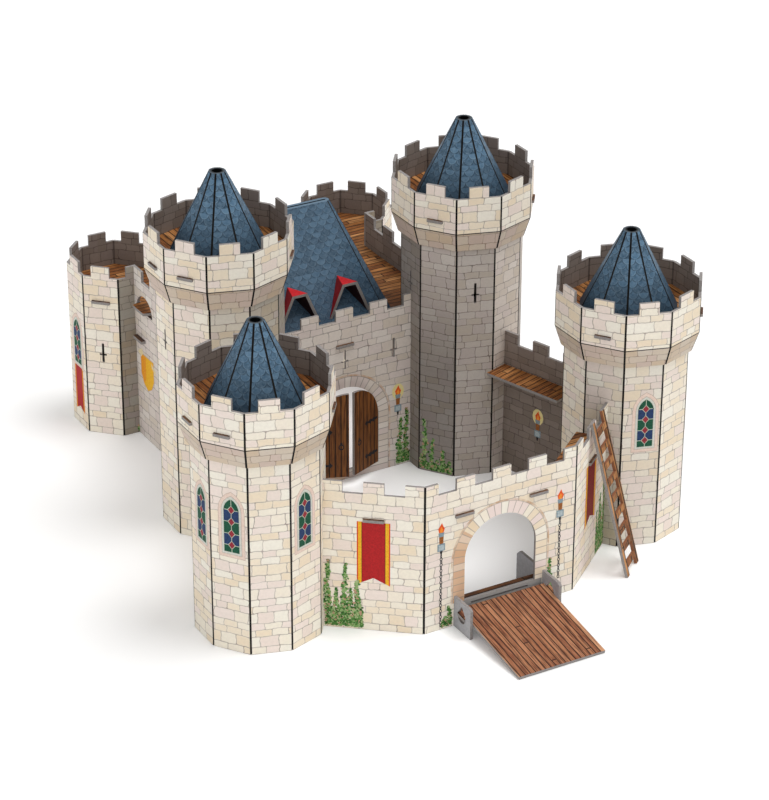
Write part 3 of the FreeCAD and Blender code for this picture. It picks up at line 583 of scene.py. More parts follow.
@dataclass(frozen=True)
class PlankPrint:
    """Streaky boards with dark gaps and staggered ends."""

    tones: tuple[str, ...]
    streak: str
    gap: str
    width: float = 8.0
    length: float = 95.0
    gap_half: float = 0.35

    def draw(self, press: Press, along: Field, across: Field) -> tuple[bpy.types.NodeSocket, Field]:
        """Boards with their grain running along.

        Args:
            press: the material being drawn.
            along: millimetres along the grain.
            across: millimetres across it.

        Returns:
            The colour, and the relief between nought in a gap and one on a board.
        """
        lane = across / self.width
        board = lane.floor()
        run = along / self.length + press.chance(board, 3.0) * 7.0
        edge = (0.5 - (lane - board - 0.5).size()) * self.width
        end = (0.5 - (run.fract() - 0.5).size()) * self.length
        solid = press.step(edge.least(end), self.gap_half, self.gap_half * 2.4)
        tone = press.chance(board, run.floor())
        base = press.choose(tone, self.tones)
        grain = press.noise(along * 0.045 + board * 5.3, across * 0.8, tone * 9.0, 4.0)
        dark = press.mix(press.step(grain, 0.44, 0.62) * 0.85, base, self.streak)
        fine = press.noise(along * 0.09, across * 2.2, board * 3.1, 2.0)
        light = press.mix(press.step(fine, 0.5, 0.72) * 0.6, dark, self.tones[0])
        return press.mix(solid, self.gap, light), solid


@dataclass(frozen=True)
class SlatePrint:
    """Rounded slates in rows, each row half a slate out of step with the next."""

    tones: tuple[str, ...]
    line: str
    shine: str
    width: float = 10.4
    row: float = 5.7

    def draw(self, press: Press, along: Field, up: Field) -> tuple[bpy.types.NodeSocket, Field]:
        """Rows of slates with a painted highlight on each lip and a soft painted shadow below each.

        Args:
            press: the material being drawn.
            along: millimetres along the roof.
            up: millimetres up the roof.

        Returns:
            The colour, and the relief between nought at a rim and one on a slate.
        """
        sway = press.noise(along * 0.09, up * 0.09, 4.0, 2.0) - 0.5
        level = (up + sway * 1.6) / self.row
        row = level.floor()
        rise = level - row
        lane = (along + sway * 1.4) / self.width + row * 0.5
        place = lane.fract() - 0.5
        reach = press.sum("SQRT", place * place * 4.0 + (1.0 - rise) * (1.0 - rise))
        under = reach > 1.0
        tone = press.chance(lane.floor() + under * ((place > 0.0) - 0.5), row - under)
        colour = press.choose(tone, self.tones)
        wear = press.noise(along * 0.3, up * 0.3, 1.0, 4.0)
        colour = press.mix(press.step(wear, 0.35, 0.75) * 0.45, colour, self.shine)
        # Painted highlight along each slate's lower rim; painted shadow follows just below it.
        lip_highlight = (1.0 - press.step((reach - 0.88).size(), 0.02, 0.11)) * press.step(wear, 0.2, 0.6)
        colour = press.mix(lip_highlight * 0.4, colour, self.shine)
        shade = under * (1.0 - press.step(reach - 1.0, 0.0, 0.3))
        colour = press.mix(shade * 0.6, colour, self.line)
        rim = press.step((reach - 1.0).size(), 0.02, 0.1)
        return press.mix((1.0 - rim) * 0.4, colour, self.line), rim


LIGHT_STONE = StonePrint(("F8F2E4", "F4E4CA", "F3E2DA", "F7EEDC", "F1DDBE", "EFDDD3", "F6EBD9"), "A5958A")
# Darker, greyer stone print, used on the keep's walls and the back right tower's body.
DARKER_STONE = StonePrint(("E6DED6", "D8CCC0", "DDD0CA", "E2D8CE", "D5C8B8", "D7CAC4", "DFD5CC"), "8D8079")
# Darker copy of the stone: painted shade for the inner sides of the card.
SHADED_INNER_STONE = StonePrint(("8F837A", "7E7269", "867A74", "8A7E75", "7F7269", "82766F", "8B7F77"), "574C45")
DECK_PLANKS = PlankPrint(("C58B55", "97602F", "8A5226", "AE7440", "7A4520"), "3A1E0D", "1C0E05", 7.0)
BRIDGE_PLANKS = PlankPrint(("C9936D", "A9714E", "9C6343", "B37B58", "8E563A"), "55291A", "24100A", 5.6, 400.0)
DOOR_PLANKS = PlankPrint(("9B6234", "7C4A20", "6B3D18", "8A5526"), "33190A", "120802", 6.2, 400.0)
DARK_PLANKS = PlankPrint(("6B4427", "54331B", "492B16", "5E3B20"), "24130A", "140A05", 7.0)
ROOF_SLATES = SlatePrint(("405F78", "486983", "39566D", "507089", "344F64"), "1C2C3A", "7E99AE")
EDGE_TONES = ("7C7775", "A39E9B")
BARE_BOARD = "A3A09D"
BARE_MARGIN = 8.0
SHELF_SHADE = "8E6A4E"
SHELF_SHARE = 0.42
SHELF_FOLD_HALF = 0.55
TAB_SHADE = "4A3A35"
TAB_SHARE = 0.75
FOLD = "141210"
INSIDE = "1B1D20"
SHADOW = "241D1A"
OPEN = 400.0
FRONT_RIGHT_SHADES = ((-54.0, 0.4, 170.0), (-18.0, 0.1, OPEN))
BACK_LEFT_SHADES = ((-18.0, 0.25, OPEN), (18.0, 0.42, OPEN), (54.0, 0.55, OPEN))
BACK_RIGHT_SHADES = ((-90.0, 0.6, OPEN), (-54.0, 0.62, 210.0), (-18.0, 0.3, OPEN), (18.0, 0.06, OPEN),
                     (54.0, 0.66, 165.0))


class Dresser:
    """Gives packed card nodes their printed finishes."""

    def __init__(self, nodes: dict[str, bpy.types.Object]) -> None:
        """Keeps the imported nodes.

        Args:
            nodes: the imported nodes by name.
        """
        self.nodes = nodes

    def dress(self, node: str, material: bpy.types.Material) -> None:
        """Puts one material on a node and reports it."""
        mesh = self.nodes[node].data
        mesh.materials.clear()
        mesh.materials.append(material)
        log.info("dressed %s", node)

    @staticmethod
    def edge(press: Press) -> bpy.types.NodeSocket:
        """Cut edge of grey board with its fine layers."""
        x, y, z = press.place()
        fleck = press.noise(x * 0.9, y * 0.9, z * 2.5, 3.0)
        return press.mix(press.step(fleck, 0.3, 0.7), EDGE_TONES[0], EDGE_TONES[1])

    def stone(self, node: str, place: Ring | Panel | FoldedFront, outer: StonePrint, arch: Arch | None = None,
              shelf: float | None = None, shades: tuple[tuple[float, float, float], ...] = ()) -> None:
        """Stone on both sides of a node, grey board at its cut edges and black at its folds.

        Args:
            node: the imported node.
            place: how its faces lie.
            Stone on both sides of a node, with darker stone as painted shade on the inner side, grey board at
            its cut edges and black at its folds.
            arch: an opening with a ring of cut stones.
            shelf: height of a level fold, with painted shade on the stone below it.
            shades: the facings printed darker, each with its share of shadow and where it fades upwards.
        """
        press = Press(node + "_print")
        face = place.unfold(press)
        front, relief = outer.draw(press, face.along, face.up)
        if arch is not None:
            ring, inside = outer.ring(press, face.along, face.up, arch)
            front = press.mix(inside, front, ring)
            bare = (face.up < arch.foot) * ((face.along - arch.middle).size() < arch.inner + BARE_MARGIN)
            front = press.mix(bare, front, BARE_BOARD)
        for facing, share, end in shades:
            near = press.sum("SUBTRACT", face.facing, facing).size() < 2.0
            fade = 1.0 - press.step(face.up, end - 90.0, end + 60.0) * 0.7
            front = press.mix(near * fade * share, front, SHADOW)
        folds = face.fold
        if shelf is not None:
            # Painted shade on the corbel below the parapet's fold.
            front = press.mix((face.up < shelf) * SHELF_SHARE, front, SHELF_SHADE)
            folds = folds.most((face.up - shelf).size() < SHELF_FOLD_HALF)
        front = press.mix(folds, front, FOLD)
        # Inner side: darker stone as painted shade.
        back, _ = SHADED_INNER_STONE.draw(press, face.along + 9.0, face.up)
        back = press.mix(press.sum("MULTIPLY", face.fold, 0.5), back, FOLD)
        colour = press.mix(face.front < -0.5, self.edge(press), back)
        colour = press.mix((face.front > 0.5).most((face.front > 0.1) * face.fold), colour, front)
        self.dress(node, press.finish(colour, relief))

    def planks(self, node: str, print_: PlankPrint, turn: float = 0.0,
               place: Ring | Panel | FoldedFront | None = None, wall: float = CARD / 2) -> None:
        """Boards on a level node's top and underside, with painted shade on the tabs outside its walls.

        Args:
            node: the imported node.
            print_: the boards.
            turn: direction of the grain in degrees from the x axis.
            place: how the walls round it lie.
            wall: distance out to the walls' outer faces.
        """
        press = Press(node + "_print")
        x, y, _ = press.place()
        _, _, nz = press.split("Normal")
        cosine, sine = math.cos(math.radians(turn)), math.sin(math.radians(turn))
        along, across = x * cosine + y * sine, y * cosine - x * sine
        wood, relief = print_.draw(press, along + 900.0, across + 900.0)
        if place is not None:
            # Painted shade on the tabs that stick out through the walls.
            tab = place.unfold(press).out > wall - 0.3
            wood = press.mix(tab * TAB_SHARE, wood, TAB_SHADE)
        colour = press.mix(nz.size() > 0.6, self.edge(press), wood)
        self.dress(node, press.finish(colour, relief))


@dataclass
class Towers:
    """The four towers with their crowns, decks and pointed roofs."""

    dresser: Dresser
    plan: Plan
    low: float = 262.0
    high: float = 320.0
    parapet: float = 38.0
    deck_drop: float = 25.2

    def dress(self) -> None:
        """Dresses every tower node."""
        shades = {"front_left": (), "front_right": FRONT_RIGHT_SHADES,
                  "back_left": BACK_LEFT_SHADES, "back_right": BACK_RIGHT_SHADES}
        for name, shade in shades.items():
            ring = Ring(*centre("tower_body_" + name), 10)
            top = self.low if name.startswith("front") else self.high
            body = DARKER_STONE if name == "back_right" else LIGHT_STONE
            self.dresser.stone("tower_body_" + name, ring, body, shades=shade)
            self.dresser.stone("tower_crown_" + name, ring, LIGHT_STONE, shelf=top - self.parapet)
            self.dresser.planks("tower_deck_" + name, DECK_PLANKS, 90.0, ring, self.plan.crown_flat)
            self.roof("tower_roof_" + name, ring, top - self.deck_drop)

    def roof(self, node: str, ring: Ring, foot: float) -> None:
        """Slates on a pointed roof, with painted shade at its foot below the parapet, black folds and a black
        inside.

        Args:
            node: the roof's node.
            ring: how its faces lie.
            foot: height of its foot.
        """
        press = Press(node + "_print")
        face = ring.unfold(press)
        _, _, nz = press.split("Normal")
        slates, relief = ROOF_SLATES.draw(press, face.along, face.up * 1.13)
        # Painted shade on the roof's foot, where the parapet round it blocks the light.
        slates = press.mix((1.0 - press.step(face.up - foot, 4.0, 48.0)) * 0.7, slates, ROOF_SLATES.line)
        colour = press.mix((face.front > 0.15) * (nz > 0.0), INSIDE, slates)
        rim = (nz > 0.9) * press.step(face.out, 5.6, 7.2)
        colour = press.mix(rim * 0.7, colour, "55626C")
        colour = press.mix(face.fold * (face.front > -0.1) * (nz < 0.9), colour, FOLD)
        self.dresser.dress(node, press.finish(colour, relief, 0.5))


@dataclass
class Keep:
    """The keep's walls, deck, roof, hoods and doors, and the two turrets behind it."""

    dresser: Dresser
    plan: Plan
    door: Arch = Arch(0.0, 40.0, 52.0, 67.5, 0.0, 7.0)
    roof_foot: float = 158.0
    roof_height: float = 110.5
    roof_middle: float = 111.5
    roof_folds: tuple[tuple[float, float, float, float], ...] = ((65.2, 97.5, 40.2, 5.0),
                                                                 (77.7, 85.0, 43.7, 2.5))
    roof_fold_half: float = 0.75

    def dress(self) -> None:
        """Dresses every node of the keep."""
        walls = self.plan.keep()
        for side, panel in walls.items():
            self.dresser.stone("keep_wall_" + side, panel, DARKER_STONE, self.door if side == "front" else None)
        for side in ("left", "right"):
            ring = Ring(*centre("turret_body_" + side), 8, 0.5)
            self.dresser.stone("turret_body_" + side, ring, LIGHT_STONE, shades=((0.0, 0.66, OPEN),))
            self.dresser.planks("turret_deck_" + side, DECK_PLANKS, 0.0, ring, self.plan.turret_flat)
        self.dresser.planks("keep_deck", DECK_PLANKS, 0.0, walls["front"])
        self.dresser.planks("keep_shelf", DECK_PLANKS, 90.0, walls["left"])
        self.roof()
        for side in ("left", "right"):
            self.hood("dormer_" + side)
            self.leaf("door_leaf_" + side)

    def roof(self) -> None:
        """Slates on the big roof, with black lines along its eight folds.

        Each pair of folds runs from a foot to a top, given by their distances from the middle in x and y.
        """
        press = Press("keep_roof_print")
        x, y, z = press.place()
        nx, ny, nz = press.split("Normal")
        wide, deep = x.size(), (y - self.roof_middle).size()
        rise = (z - self.roof_foot) / self.roof_height
        sideways = nx.size() > ny.size()
        along = x + sideways * (y - x)
        slates, relief = ROOF_SLATES.draw(press, along, z * 1.28)
        low = 1.0 - press.step(rise, 0.0, 0.5)
        slates = press.mix(low * 0.35 + 0.34, slates, "20364A")
        folds: Number = 0.0
        for foot_x, foot_y, top_x, top_y in self.roof_folds:
            gap_x = wide - (foot_x + rise * (top_x - foot_x))
            gap_y = deep - (foot_y + rise * (top_y - foot_y))
            folds = press.sum("MAXIMUM", press.length(gap_x, gap_y) < self.roof_fold_half, folds)
        slates = press.mix(folds, slates, FOLD)
        colour = press.mix((nz > 0.2) * (nz < 0.93), INSIDE, slates)
        colour = press.mix(nz > 0.97, colour, "60778A")
        self.dresser.dress("keep_roof", press.finish(colour, relief, 0.5))

    def hood(self, node: str) -> None:
        """Red roof hood with painted light: a brighter red top, painted shade on its darker red sides and a
        dark painted shade inside.

        Args:
            node: the hood's node.
        """
        press = Press(node + "_print")
        _, ny, nz = press.split("Normal")
        grain = press.fleck(0.35)
        blend = press.step(grain, 0.3, 0.7)
        # Painted light: the sides a darker red than the top, and the downward faces painted dark as shade.
        side = press.mix(blend, "7E1013", "A5181B")
        top = press.mix(blend, "B8151A", "D2232A")
        colour = press.mix(nz > 0.9, side, top)
        colour = press.mix(nz < -0.05, colour, "2A0E10")
        colour = press.mix(ny < -0.95, colour, self.dresser.edge(press))
        self.dresser.dress(node, press.finish(colour, grain))

    def leaf(self, node: str) -> None:
        """Upright boards on a door leaf.

        Args:
            node: the leaf's node.
        """
        press = Press(node + "_print")
        x, y, z = press.place()
        _, ny, _ = press.split("Normal")
        side = press.sum("SIGN", x)
        across = press.length(x - side * DOOR_JAMB, y + CARD / 2)
        wood, relief = DOOR_PLANKS.draw(press, z + 200.0, across + 0.2)
        colour = press.mix(ny.size() > 0.8, self.dresser.edge(press), wood)
        self.dresser.dress(node, press.finish(colour, relief))


@dataclass
class Front:
    """The front walls with their walks, the drawbridge, its brackets and the ladder."""

    dresser: Dresser
    plan: Plan
    gate: Arch = Arch(0.0, 40.0, 53.0, 69.0, 24.8)
    ladder_middle: float = 58.6
    ladder_inner: float = 12.5

    def dress(self) -> None:
        """Dresses every node of the front."""
        sheet = self.plan.front()
        self.dresser.stone("gate_wall", sheet, LIGHT_STONE, self.gate)
        self.dresser.planks("gate_walk", DECK_PLANKS, 0.0, sheet)
        for side in ("left", "right"):
            panel = self.plan.curtain(side == "left")
            self.dresser.stone("curtain_wall_" + side, panel, LIGHT_STONE)
            self.dresser.planks("curtain_walk_" + side, DECK_PLANKS, panel.angle + 90.0, panel)
        self.dresser.planks("drawbridge", BRIDGE_PLANKS, 90.0)
        self.dresser.planks("threshold_plank", DARK_PLANKS, 0.0)
        for side in ("left", "right"):
            self.bracket("bridge_bracket_" + side)
        self.ladder()

    def bracket(self, node: str) -> None:
        """Plain grey board, darker at its cut edges.

        Args:
            node: the bracket's node.
        """
        press = Press(node + "_print")
        nx, _, _ = press.split("Normal")
        fleck = press.fleck(0.4)
        face = press.mix(press.step(fleck, 0.3, 0.7), "9C9CA0", "ADACB0")
        colour = press.mix(nx.size() > 0.8, self.dresser.edge(press), face)
        self.dresser.dress(node, press.finish(colour, fleck))

    def ladder(self) -> None:
        """Wood on the ladder's two faces and in its gaps, with grey outer edges."""
        press = Press("ladder_print")
        x, y, z = press.place()
        nx, ny, _ = press.split("Normal")
        turn = math.radians(self.plan.wing_turn)
        cosine, sine = math.cos(turn), math.sin(turn)
        across = x * cosine + y * sine
        facing = nx * sine - ny * cosine
        wood, relief = DECK_PLANKS.draw(press, z * 1.03 + 40.0, across * 0.5 + 300.0)
        place = (x - self.plan.gate_half) * cosine + (y - self.plan.gate_front) * sine
        inner = (place - self.ladder_middle).size() < self.ladder_inner
        edge = press.mix(inner * 0.85, self.dresser.edge(press), "8E5328")
        colour = press.mix(facing.size() > 0.7, edge, wood)
        self.dresser.dress("ladder", press.finish(colour, relief))


@dataclass(frozen=True)
class Spot:
    """A place on a card face, in millimetres: its foot, and its directions along and out of the face."""

    x: float
    y: float
    angle: float

    @staticmethod
    def on_ring(centre: tuple[float, float], flat: float, facing: float) -> "Spot":
        """Middle of a tower's face, at the floor.

        Args:
            centre: the tower's middle in plan.
            flat: distance from there to its faces.
            facing: the way the face looks, from -Y towards +X in degrees.

        Returns:
            The spot.
        """
        turn = math.radians(facing)
        return Spot(centre[0] + math.sin(turn) * flat, centre[1] - math.cos(turn) * flat, facing)

    @staticmethod
    def on_panel(panel: Panel, outside: bool = True) -> "Spot":
        """Start of a wall's outer face, or the same place on its inner face.

        Args:
            panel: the wall.
            outside: the printed outer side, or the inner one.

        Returns:
            The spot. On the inner side its lengths run backwards.
        """
        ax, ay = panel.direction()
        way = CARD / 2 if outside else -CARD / 2
        turned = panel.angle if outside else panel.angle + 180.0
        return Spot(panel.x + ay * way, panel.y - ax * way, turned)

    def matrix(self) -> Matrix:
        """Transform from the face's millimetres to the castle's metres."""
        turn = math.radians(self.angle)
        along = Vector((math.cos(turn), math.sin(turn), 0.0))
        out = Vector((math.sin(turn), -math.cos(turn), 0.0))
        grid = Matrix((along, Vector((0.0, 0.0, 1.0)), out)).transposed().to_4x4()
        return Matrix.Translation((self.x * MM, self.y * MM, 0.0)) @ Matrix.Scale(MM, 4) @ grid


class Inks(Enum):
    """Plain printed inks: a main tone and the tone it is mottled with."""

    FRAME = ("DCDAD0", "C3C6BE")
    SURROUND = ("EDD9CC", "E0C6B4")
    OUTLINE = ("C9AF9E", "B59A88")
    SEAM = ("7A1A12", "5E120D")
    GLOW = ("F0E3A6", "E9D98C")
    RED = ("BC1D20", "9A161A")
    GEM = ("A43440", "7E2430")
    DEEP_RED = ("8C1B1C", "6E1316")
    GOLD = ("F6C02A", "E09C18")
    AMBER = ("F0A028", "DC8418")
    ORANGE = ("E0521C", "C23B18")
    FLAME = ("F0672A", "D93A16")
    FLAME_HEART = ("F9A13A", "F27B24")
    STEEL = ("93A6AE", "6F828B")
    PALE_STEEL = ("BFCACC", "9BA9AE")
    SHAFT = ("A8672F", "7F481C")
    IRON = ("17161A", "2B2A2E")
    CHAIN = ("3C3C40", "222226")
    LEAD = ("C9D2BE", "A9B9A2")
    BLUE = ("26406C", "1C2F52")
    GREEN = ("17583F", "0F4431")
    RIBBON = ("EEDFB6", "D9C48E")


_INK_MATERIALS: dict[Inks, bpy.types.Material] = {}


def printed(choice: Inks) -> bpy.types.Material:
    """Material of one plain ink, made once.

    Args:
        choice: the ink.

    Returns:
        Its material.
    """
    if choice not in _INK_MATERIALS:
        press = Press("ink_" + choice.name.lower())
        fleck = press.fleck(0.6)
        colour = press.mix(press.step(fleck, 0.35, 0.75), *choice.value)
        _INK_MATERIALS[choice] = press.finish(colour, fleck)
    return _INK_MATERIALS[choice]


def stand(name: str, data: bpy.types.ID) -> bpy.types.Object:
    """Object of the scene that holds the given data."""
    made = bpy.data.objects.new(name, data)
    bpy.context.scene.collection.objects.link(made)
    return made


def put(mesh: bmesh.types.BMesh, name: str, materials: list[bpy.types.Material]) -> bpy.types.Object:
    """Turns a built mesh into an object of the scene.

    Args:
        mesh: the built mesh, which is used up.
        name: the object's name.
        materials: its materials, in the order of their numbers.

    Returns:
        The object.
    """
    data = bpy.data.meshes.new(name)
    mesh.to_mesh(data)
    mesh.free()
    for material in materials:
        data.materials.append(material)
    return stand(name, data)


class Layer:
    """Flat printed shapes on one card face, joined in one thin piece."""

    rise = 0.05
    thick = 0.04

    def __init__(self, name: str, spot: Spot, body: str = "castle", slot: str = "stone_card") -> None:
        """Starts an empty layer.

        Args:
            name: the piece's name.
            spot: the face it lies on.
            body: the moving body it belongs to.
            slot: a material slot's name, kept on the layer but not used.
        """
        self.name = name
        self.spot = spot
        self.body = body
        self.slot = slot
        self.mesh = bmesh.new()
        self.inks: list[Inks] = []

    def slot_of(self, choice: Inks) -> int:
        """Number of an ink in this piece, added when it is new."""
        if choice not in self.inks:
            self.inks.append(choice)
        return self.inks.index(choice)

    def lay(self, faces: list[bmesh.types.BMFace], choice: Inks, level: int) -> None:
        """Gives flat faces their ink, their thickness and their place in the stack of layers.

        Args:
            faces: faces in the plane of the card.
            choice: the ink.
            level: how many layers lie below.
        """
        bmesh.ops.recalc_face_normals(self.mesh, faces=faces)
        if faces[0].normal.z < 0:
            bmesh.ops.reverse_faces(self.mesh, faces=faces)
        made = bmesh.ops.extrude_face_region(self.mesh, geom=faces)
        top = [g for g in made["geom"] if isinstance(g, bmesh.types.BMVert)]
        low = list({v for f in faces for v in f.verts})
        bmesh.ops.translate(self.mesh, verts=low, vec=(0.0, 0.0, self.rise + level * self.thick))
        bmesh.ops.translate(self.mesh, verts=top, vec=(0.0, 0.0, self.rise + (level + 1) * self.thick))
        number = self.slot_of(choice)
        for face in {f for v in top + low for f in v.link_faces}:
            face.material_index = number
        bmesh.ops.reverse_faces(self.mesh, faces=faces)

    def shape(self, points: list[tuple[float, float]], choice: Inks, level: int = 0) -> None:
        """Adds a shape given by a few corners.

        Args:
            points: corners in millimetres.
            choice: the ink.
            level: how many layers lie below.
        """
        verts = [self.mesh.verts.new((x, y, 0.0)) for x, y in points]
        self.lay([self.mesh.faces.new(verts)], choice, level)

    def band(self, centre: tuple[float, float], inner: float, outer: float, choice: Inks, level: int = 0,
             stretch: float = 1.0, segments: int = 14) -> None:
        """Adds a flat ring.

        Args:
            centre: its middle in millimetres.
            inner: inner radius.
            outer: outer radius.
            choice: the ink.
            level: how many layers lie below.
            stretch: how much taller than wide it is.
            segments: steps round it.
        """
        rings = []
        for radius in (inner, outer):
            made = bmesh.ops.create_circle(self.mesh, segments=segments, radius=radius)
            bmesh.ops.scale(self.mesh, verts=made["verts"], vec=(1.0, stretch, 1.0))
            bmesh.ops.translate(self.mesh, verts=made["verts"], vec=(centre[0], centre[1], 0.0))
            rings += list({e for v in made["verts"] for e in v.link_edges})
        faces = bmesh.ops.bridge_loops(self.mesh, edges=rings)["faces"]
        self.lay(faces, choice, level)

    def taper(self, middle: float, foot: tuple[float, float], top: tuple[float, float], choice: Inks,
              level: int = 0) -> None:
        """Adds an upright shape with level ends.

        Args:
            middle: its middle line.
            foot: height and half width of its lower end.
            top: height and half width of its upper end.
            choice: the ink.
            level: how many layers lie below.
        """
        low, low_half = foot
        high, high_half = top
        self.shape([(middle - low_half, low), (middle + low_half, low),
                    (middle + high_half, high), (middle - high_half, high)], choice, level)

    def done(self) -> None:
        """Moves the shapes onto their face and makes the piece."""
        self.mesh.transform(self.spot.matrix())
        piece = put(self.mesh, self.name, [printed(choice) for choice in self.inks])
        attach(piece, self.body)
        log.info("printed %s", self.name)


@dataclass
class Lancet:
    """A pointed window with leaded panes in a pale frame."""

    glass_half: float = 7.9
    frame: float = 2.3
    surround: float = 3.2
    arch_rise: float = 12.5
    gem_half: float = 3.2
    gem_rise: float = 4.0
    lead: float = 0.35
    gems: tuple[float, ...] = (0.134, 0.35, 0.576, 0.796)

    def arch(self, half: float, rise: float) -> list[tuple[float, float]]:
        """Points of a pointed arch from its right spring over its tip to its left spring.

        Args:
            half: half its width.
            rise: height of its tip above its springs.

        Returns:
            Places from its middle and its springs' level.
        """
        radius = (rise * rise + half * half) / (2.0 * half)
        sweep = math.asin(rise / radius)
        turns = [sweep * k / 4 for k in range(4)]
        side = [(radius * math.cos(turn) - radius + half, radius * math.sin(turn)) for turn in turns]
        return side + [(0.0, rise)] + [(-x, y) for x, y in reversed(side)]

    def outline(self, grow: float, middle: float, foot: float, top: float) -> list[tuple[float, float]]:
        """Pointed outline, larger all round by one width.

        Args:
            grow: how much larger than the glass.
            middle: the window's middle along the face.
            foot: height of the glass's foot.
            top: height of its point.

        Returns:
            Its corners.
        """
        half, spring = self.glass_half + grow, top - self.arch_rise
        points = [(middle - half, foot - grow), (middle + half, foot - grow)]
        return points + [(middle + x, spring + y) for x, y in self.arch(half, self.arch_rise + grow * 1.3)]

    def add(self, layer: Layer, middle: float, foot: float, top: float) -> None:
        """Prints one window.

        Args:
            layer: the layer it goes on.
            middle: its middle along the face.
            foot: height of the glass's foot.
            top: height of its point.
        """
        outer = self.frame + self.surround
        rings = ((outer + 0.4, Inks.OUTLINE), (outer, Inks.SURROUND), (self.frame + 0.4, Inks.OUTLINE),
                 (self.frame, Inks.FRAME), (0.3, Inks.LEAD))
        for level, (grow, choice) in enumerate(rings):
            layer.shape(self.outline(grow, middle, foot, top), choice, level)
        self.panes(layer, middle, foot, top)

    def panes(self, layer: Layer, middle: float, foot: float, top: float) -> None:
        """Prints the panes over the lead: red gems up the middle, blue and green beside them in turn.

        Args:
            layer: the layer they go on.
            middle: the window's middle along the face.
            foot: height of the glass's foot.
            top: height of its point.
        """
        lead, half, gem, rise = self.lead, self.glass_half, self.gem_half, self.gem_rise
        levels = [foot + (top - foot) * share for share in self.gems]
        for level in levels:
            layer.shape([(middle - gem, level), (middle, level - rise),
                         (middle + gem, level), (middle, level + rise)], Inks.GEM, 5)
        for side in (-1.0, 1.0):
            beside, rim = middle + side * (gem + lead * 1.6), middle + side * half
            seam = middle + side * lead
            for number, (low, high) in enumerate(zip(levels, levels[1:])):
                layer.shape([(rim, low + lead), (beside, low + lead), (seam, low + rise + lead),
                             (seam, high - rise - lead), (beside, high - lead), (rim, high - lead)],
                            Inks.GREEN if number % 2 else Inks.BLUE, 5)
            low, high = levels[0], levels[-1]
            layer.shape([(rim, foot), (seam, foot), (seam, low - rise - lead),
                         (beside, low - lead), (rim, low - lead)], Inks.GREEN, 5)
            head = [(x, y) for x, y in self.arch(half, self.arch_rise) if x > 0.0]
            head = [(middle + side * x, top - self.arch_rise + y) for x, y in head]
            layer.shape([(rim, high + lead), *head, (seam, top - lead), (seam, high + rise + lead),
                         (beside, high + lead)], Inks.GREEN, 5)


@dataclass
class Banner:
    """A hanging banner with gold stripes down its sides and a swallow tail."""

    width: float = 32.0
    notch: float = 8.0
    rim: float = 1.3
    stripe: float = 3.2
    seam: float = 0.7

    def add(self, layer: Layer, middle: float, foot: float, top: float, main: Inks = Inks.RED) -> None:
        """Prints one banner.

        Args:
            layer: the layer it goes on.
            middle: its middle along the face.
            foot: height of its two tails.
            top: height of its upper edge.
            main: the ink of its cloth.
        """
        full = self.width / 2
        inner = full - self.rim - self.stripe
        for level, (half, choice) in enumerate(((full, Inks.ORANGE), (full - self.rim, Inks.GOLD),
                                                (inner, Inks.SEAM), (inner - self.seam, main))):
            rise = self.notch * half / full
            peak = foot + self.notch
            layer.shape([(middle - half, peak - rise), (middle, peak), (middle + half, peak - rise),
                         (middle + half, top), (middle - half, top)], choice, level)


@dataclass
class Torch:
    """A burning torch in a square bracket, with a chain hung from its hook."""

    link_pitch: float = 3.2
    glow_half: float = 7.2
    glow_rise: float = 9.2

    def add(self, layer: Layer, middle: float, foot: float, chain_foot: float | None = None) -> None:
        """Prints one torch, 34 mm high above its hook's foot.

        Args:
            layer: the layer it goes on.
            middle: its middle along the face.
            foot: height of the hook's foot.
            chain_foot: height of the chain's end, or None for a glowing torch with no chain.
        """
        hook, shaft = foot + 4.0, foot + 12.0
        collar, flame = shaft + 7.5, shaft + 12.0
        if chain_foot is None:
            turns = [math.tau * k / 12 for k in range(12)]
            layer.shape([(middle + math.cos(a) * self.glow_half, flame + 3.5 + math.sin(a) * self.glow_rise)
                         for a in turns], Inks.GLOW)
        layer.taper(middle, (foot, 0.7), (hook, 1.5), Inks.IRON, 1)
        layer.taper(middle, (hook, 4.2), (shaft, 4.2), Inks.STEEL, 1)
        layer.taper(middle, (hook + 1.3, 2.8), (shaft - 1.6, 2.8), Inks.PALE_STEEL, 2)
        layer.taper(middle, (shaft, 2.1), (collar, 2.5), Inks.SHAFT, 1)
        layer.taper(middle, (collar, 2.6), (flame, 3.3), Inks.STEEL, 1)
        layer.shape([(middle - 2.4, flame), (middle + 2.4, flame), (middle + 3.7, flame + 4.0),
                     (middle + 1.6, flame + 7.4), (middle + 0.6, flame + 10.6), (middle - 1.3, flame + 7.6),
                     (middle - 3.5, flame + 4.4)], Inks.FLAME, 1)
        layer.shape([(middle - 1.3, flame), (middle + 1.3, flame), (middle + 1.9, flame + 2.8),
                     (middle + 0.2, flame + 6.2), (middle - 1.7, flame + 3.0)], Inks.FLAME_HEART, 2)
        if chain_foot is not None:
            count = int((foot - chain_foot) / self.link_pitch)
            for k in range(count):
                level = foot - (k + 0.5) * self.link_pitch
                wide = 1.6 if k % 2 else 1.0
                layer.band((middle, level), wide - 0.75, wide, Inks.CHAIN, k % 2, 2.1 / wide, 10)


